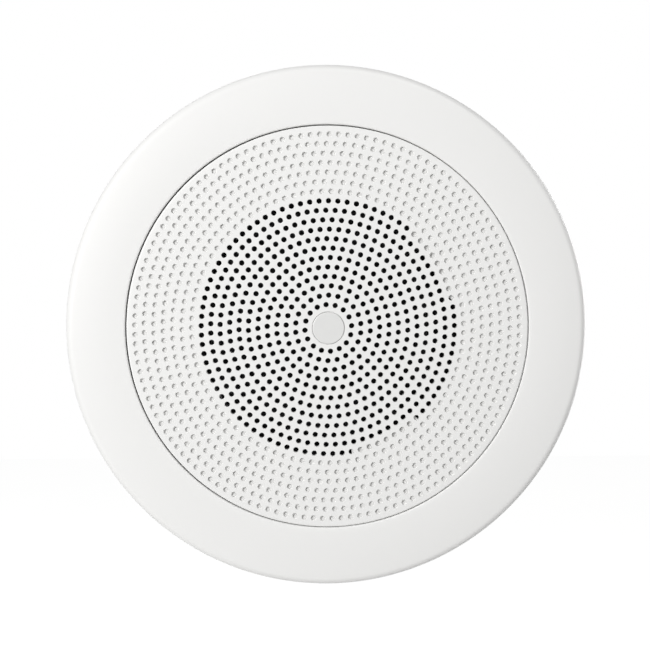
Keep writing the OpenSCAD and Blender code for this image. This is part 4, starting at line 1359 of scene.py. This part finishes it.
class SPEAKER_OT_clips(SpeakerOperator):
    """Sprung panel clips: pins, arms, springs and pads."""
    bl_idname = "speaker.clips"
    bl_label = "Clips"

    def build(self, s, g):
        lean = Matrix.Rotation(-closed_angle(s), 4, "Y")
        for k, angle in enumerate(clip_angles(s), 1):
            body, out = "clip_%d" % k, (s["pin_radius"], -s["pin_depth"])
            arm = at_angle(turn(build_arm(s), lean), angle, *out)
            settle(arm, finish("zinc_plate"), ["clip_arm_%d" % k], body)
            pad = at_angle(turn(build_pad(s), lean), angle, *out)
            settle(pad, finish("rubber"), ["clip_pad_%d" % k], body)
            pin = at_angle(build_pin(), angle, *out)
            settle(pin, finish("zinc_plate"), ["clip_pin_%d" % k])
            spring, half = build_spring(s)
            at_angle(spring, angle, *out)
            settle(spring, finish("spring_wire"), ["clip_spring_%d" % k], None, 60)
            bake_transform(spring)
            for obj, label in ((arm, "arm"), (pad, "pad"), (spring, "spring")):
                obj.name = "sprung_%s_%d" % (label, k)


class SPEAKER_OT_terminal(SpeakerOperator):
    """Terminal housing, its push buttons and its contacts."""
    bl_idname = "speaker.terminal"
    bl_label = "Terminal"

    def build(self, s, g):
        settle(build_block(), finish("black_moulding"), ["terminal_block"])
        for side, name, slot in ((-1, "red", "red_plastic"), (1, "black", "button_plastic")):
            button = build_button(side)
            button.name = name + "_lever"
            settle(button, finish(name + "_button"), ["button_" + name], name + "_button")
        for node in ("contact_1", "contact_2"):
            paint(node, finish("rolled_brass"))


class SPEAKER_OT_fasteners(SpeakerOperator):
    """Driver screws, terminal screws and rivets."""
    bl_idname = "speaker.fasteners"
    bl_label = "Fasteners"

    def build(self, s, g):
        zinc = finish("zinc_plate")
        driver = at_angle(pan_screw("driver_screw", 1.75, 8.5, 3.5, 2.4), 0, SCREW_RHO, RIM_BACK)
        settle(around(driver, 4, FLAT_TURN, zinc), zinc, ["driver_screws"])
        small = [move(pan_screw("foot_screw", 1.25, 7, 2.3, 1.8), FOOT_RHO, side * FOOT_OUT,
                      BAFFLE_BACK - FOOT_THICK) for side in (-1, 1)]
        settle(at_angle(join("foot_screws", small), -90), zinc, ["terminal_screws"])
        seat, shank, head = BASKET_BACK + STEEL, 1.5, 2.7
        side = [(0, PLATE_BACK, 0), (shank, PLATE_BACK, 0), (shank, seat, 0), (head, seat, 0.1),
                (head - 0.5, seat + 0.9, 0.6), (0, seat + 1, 0)]
        rivet = at_angle(lathe("rivet", rounded(side, 3), 32), 0, 22)
        settle(around(rivet, 4, 45, zinc), zinc, ["rivets"])


class SPEAKER_PT_panel(bpy.types.Panel):
    """Sizes, colours and one button for each group of pieces."""
    bl_label = "Speaker"
    bl_space_type = "VIEW_3D"
    bl_region_type = "UI"
    bl_category = "Speaker"

    def draw(self, context):
        for group in ("speaker_sizes", "speaker_grille", "speaker_colours"):
            data = getattr(context.scene, group)
            column = self.layout.column(align=True)
            for key in data.__annotations__:
                column.prop(data, key)
        for operator in OPERATORS:
            self.layout.operator(operator.bl_idname)


GROUPS = {"speaker_sizes": SpeakerSizes, "speaker_grille": GrilleSizes, "speaker_colours": SpeakerColours}
OPERATORS = [SPEAKER_OT_stage, SPEAKER_OT_frame, SPEAKER_OT_grille, SPEAKER_OT_basket, SPEAKER_OT_magnet,
             SPEAKER_OT_cone, SPEAKER_OT_suspension, SPEAKER_OT_clips, SPEAKER_OT_terminal,
             SPEAKER_OT_fasteners]
CLASSES = [*GROUPS.values(), *OPERATORS, SPEAKER_PT_panel]


def register():
    for cls in CLASSES:
        bpy.utils.register_class(cls)
    for name, group in GROUPS.items():
        setattr(bpy.types.Scene, name, PointerProperty(type=group))


def unregister():
    for name in GROUPS:
        delattr(bpy.types.Scene, name)
    for cls in reversed(CLASSES):
        bpy.utils.unregister_class(cls)


def main():
    register()
    for operator in OPERATORS:
        area, name = operator.bl_idname.split(".")
        getattr(getattr(bpy.ops, area), name)()


if __name__ == "__main__":
    main()
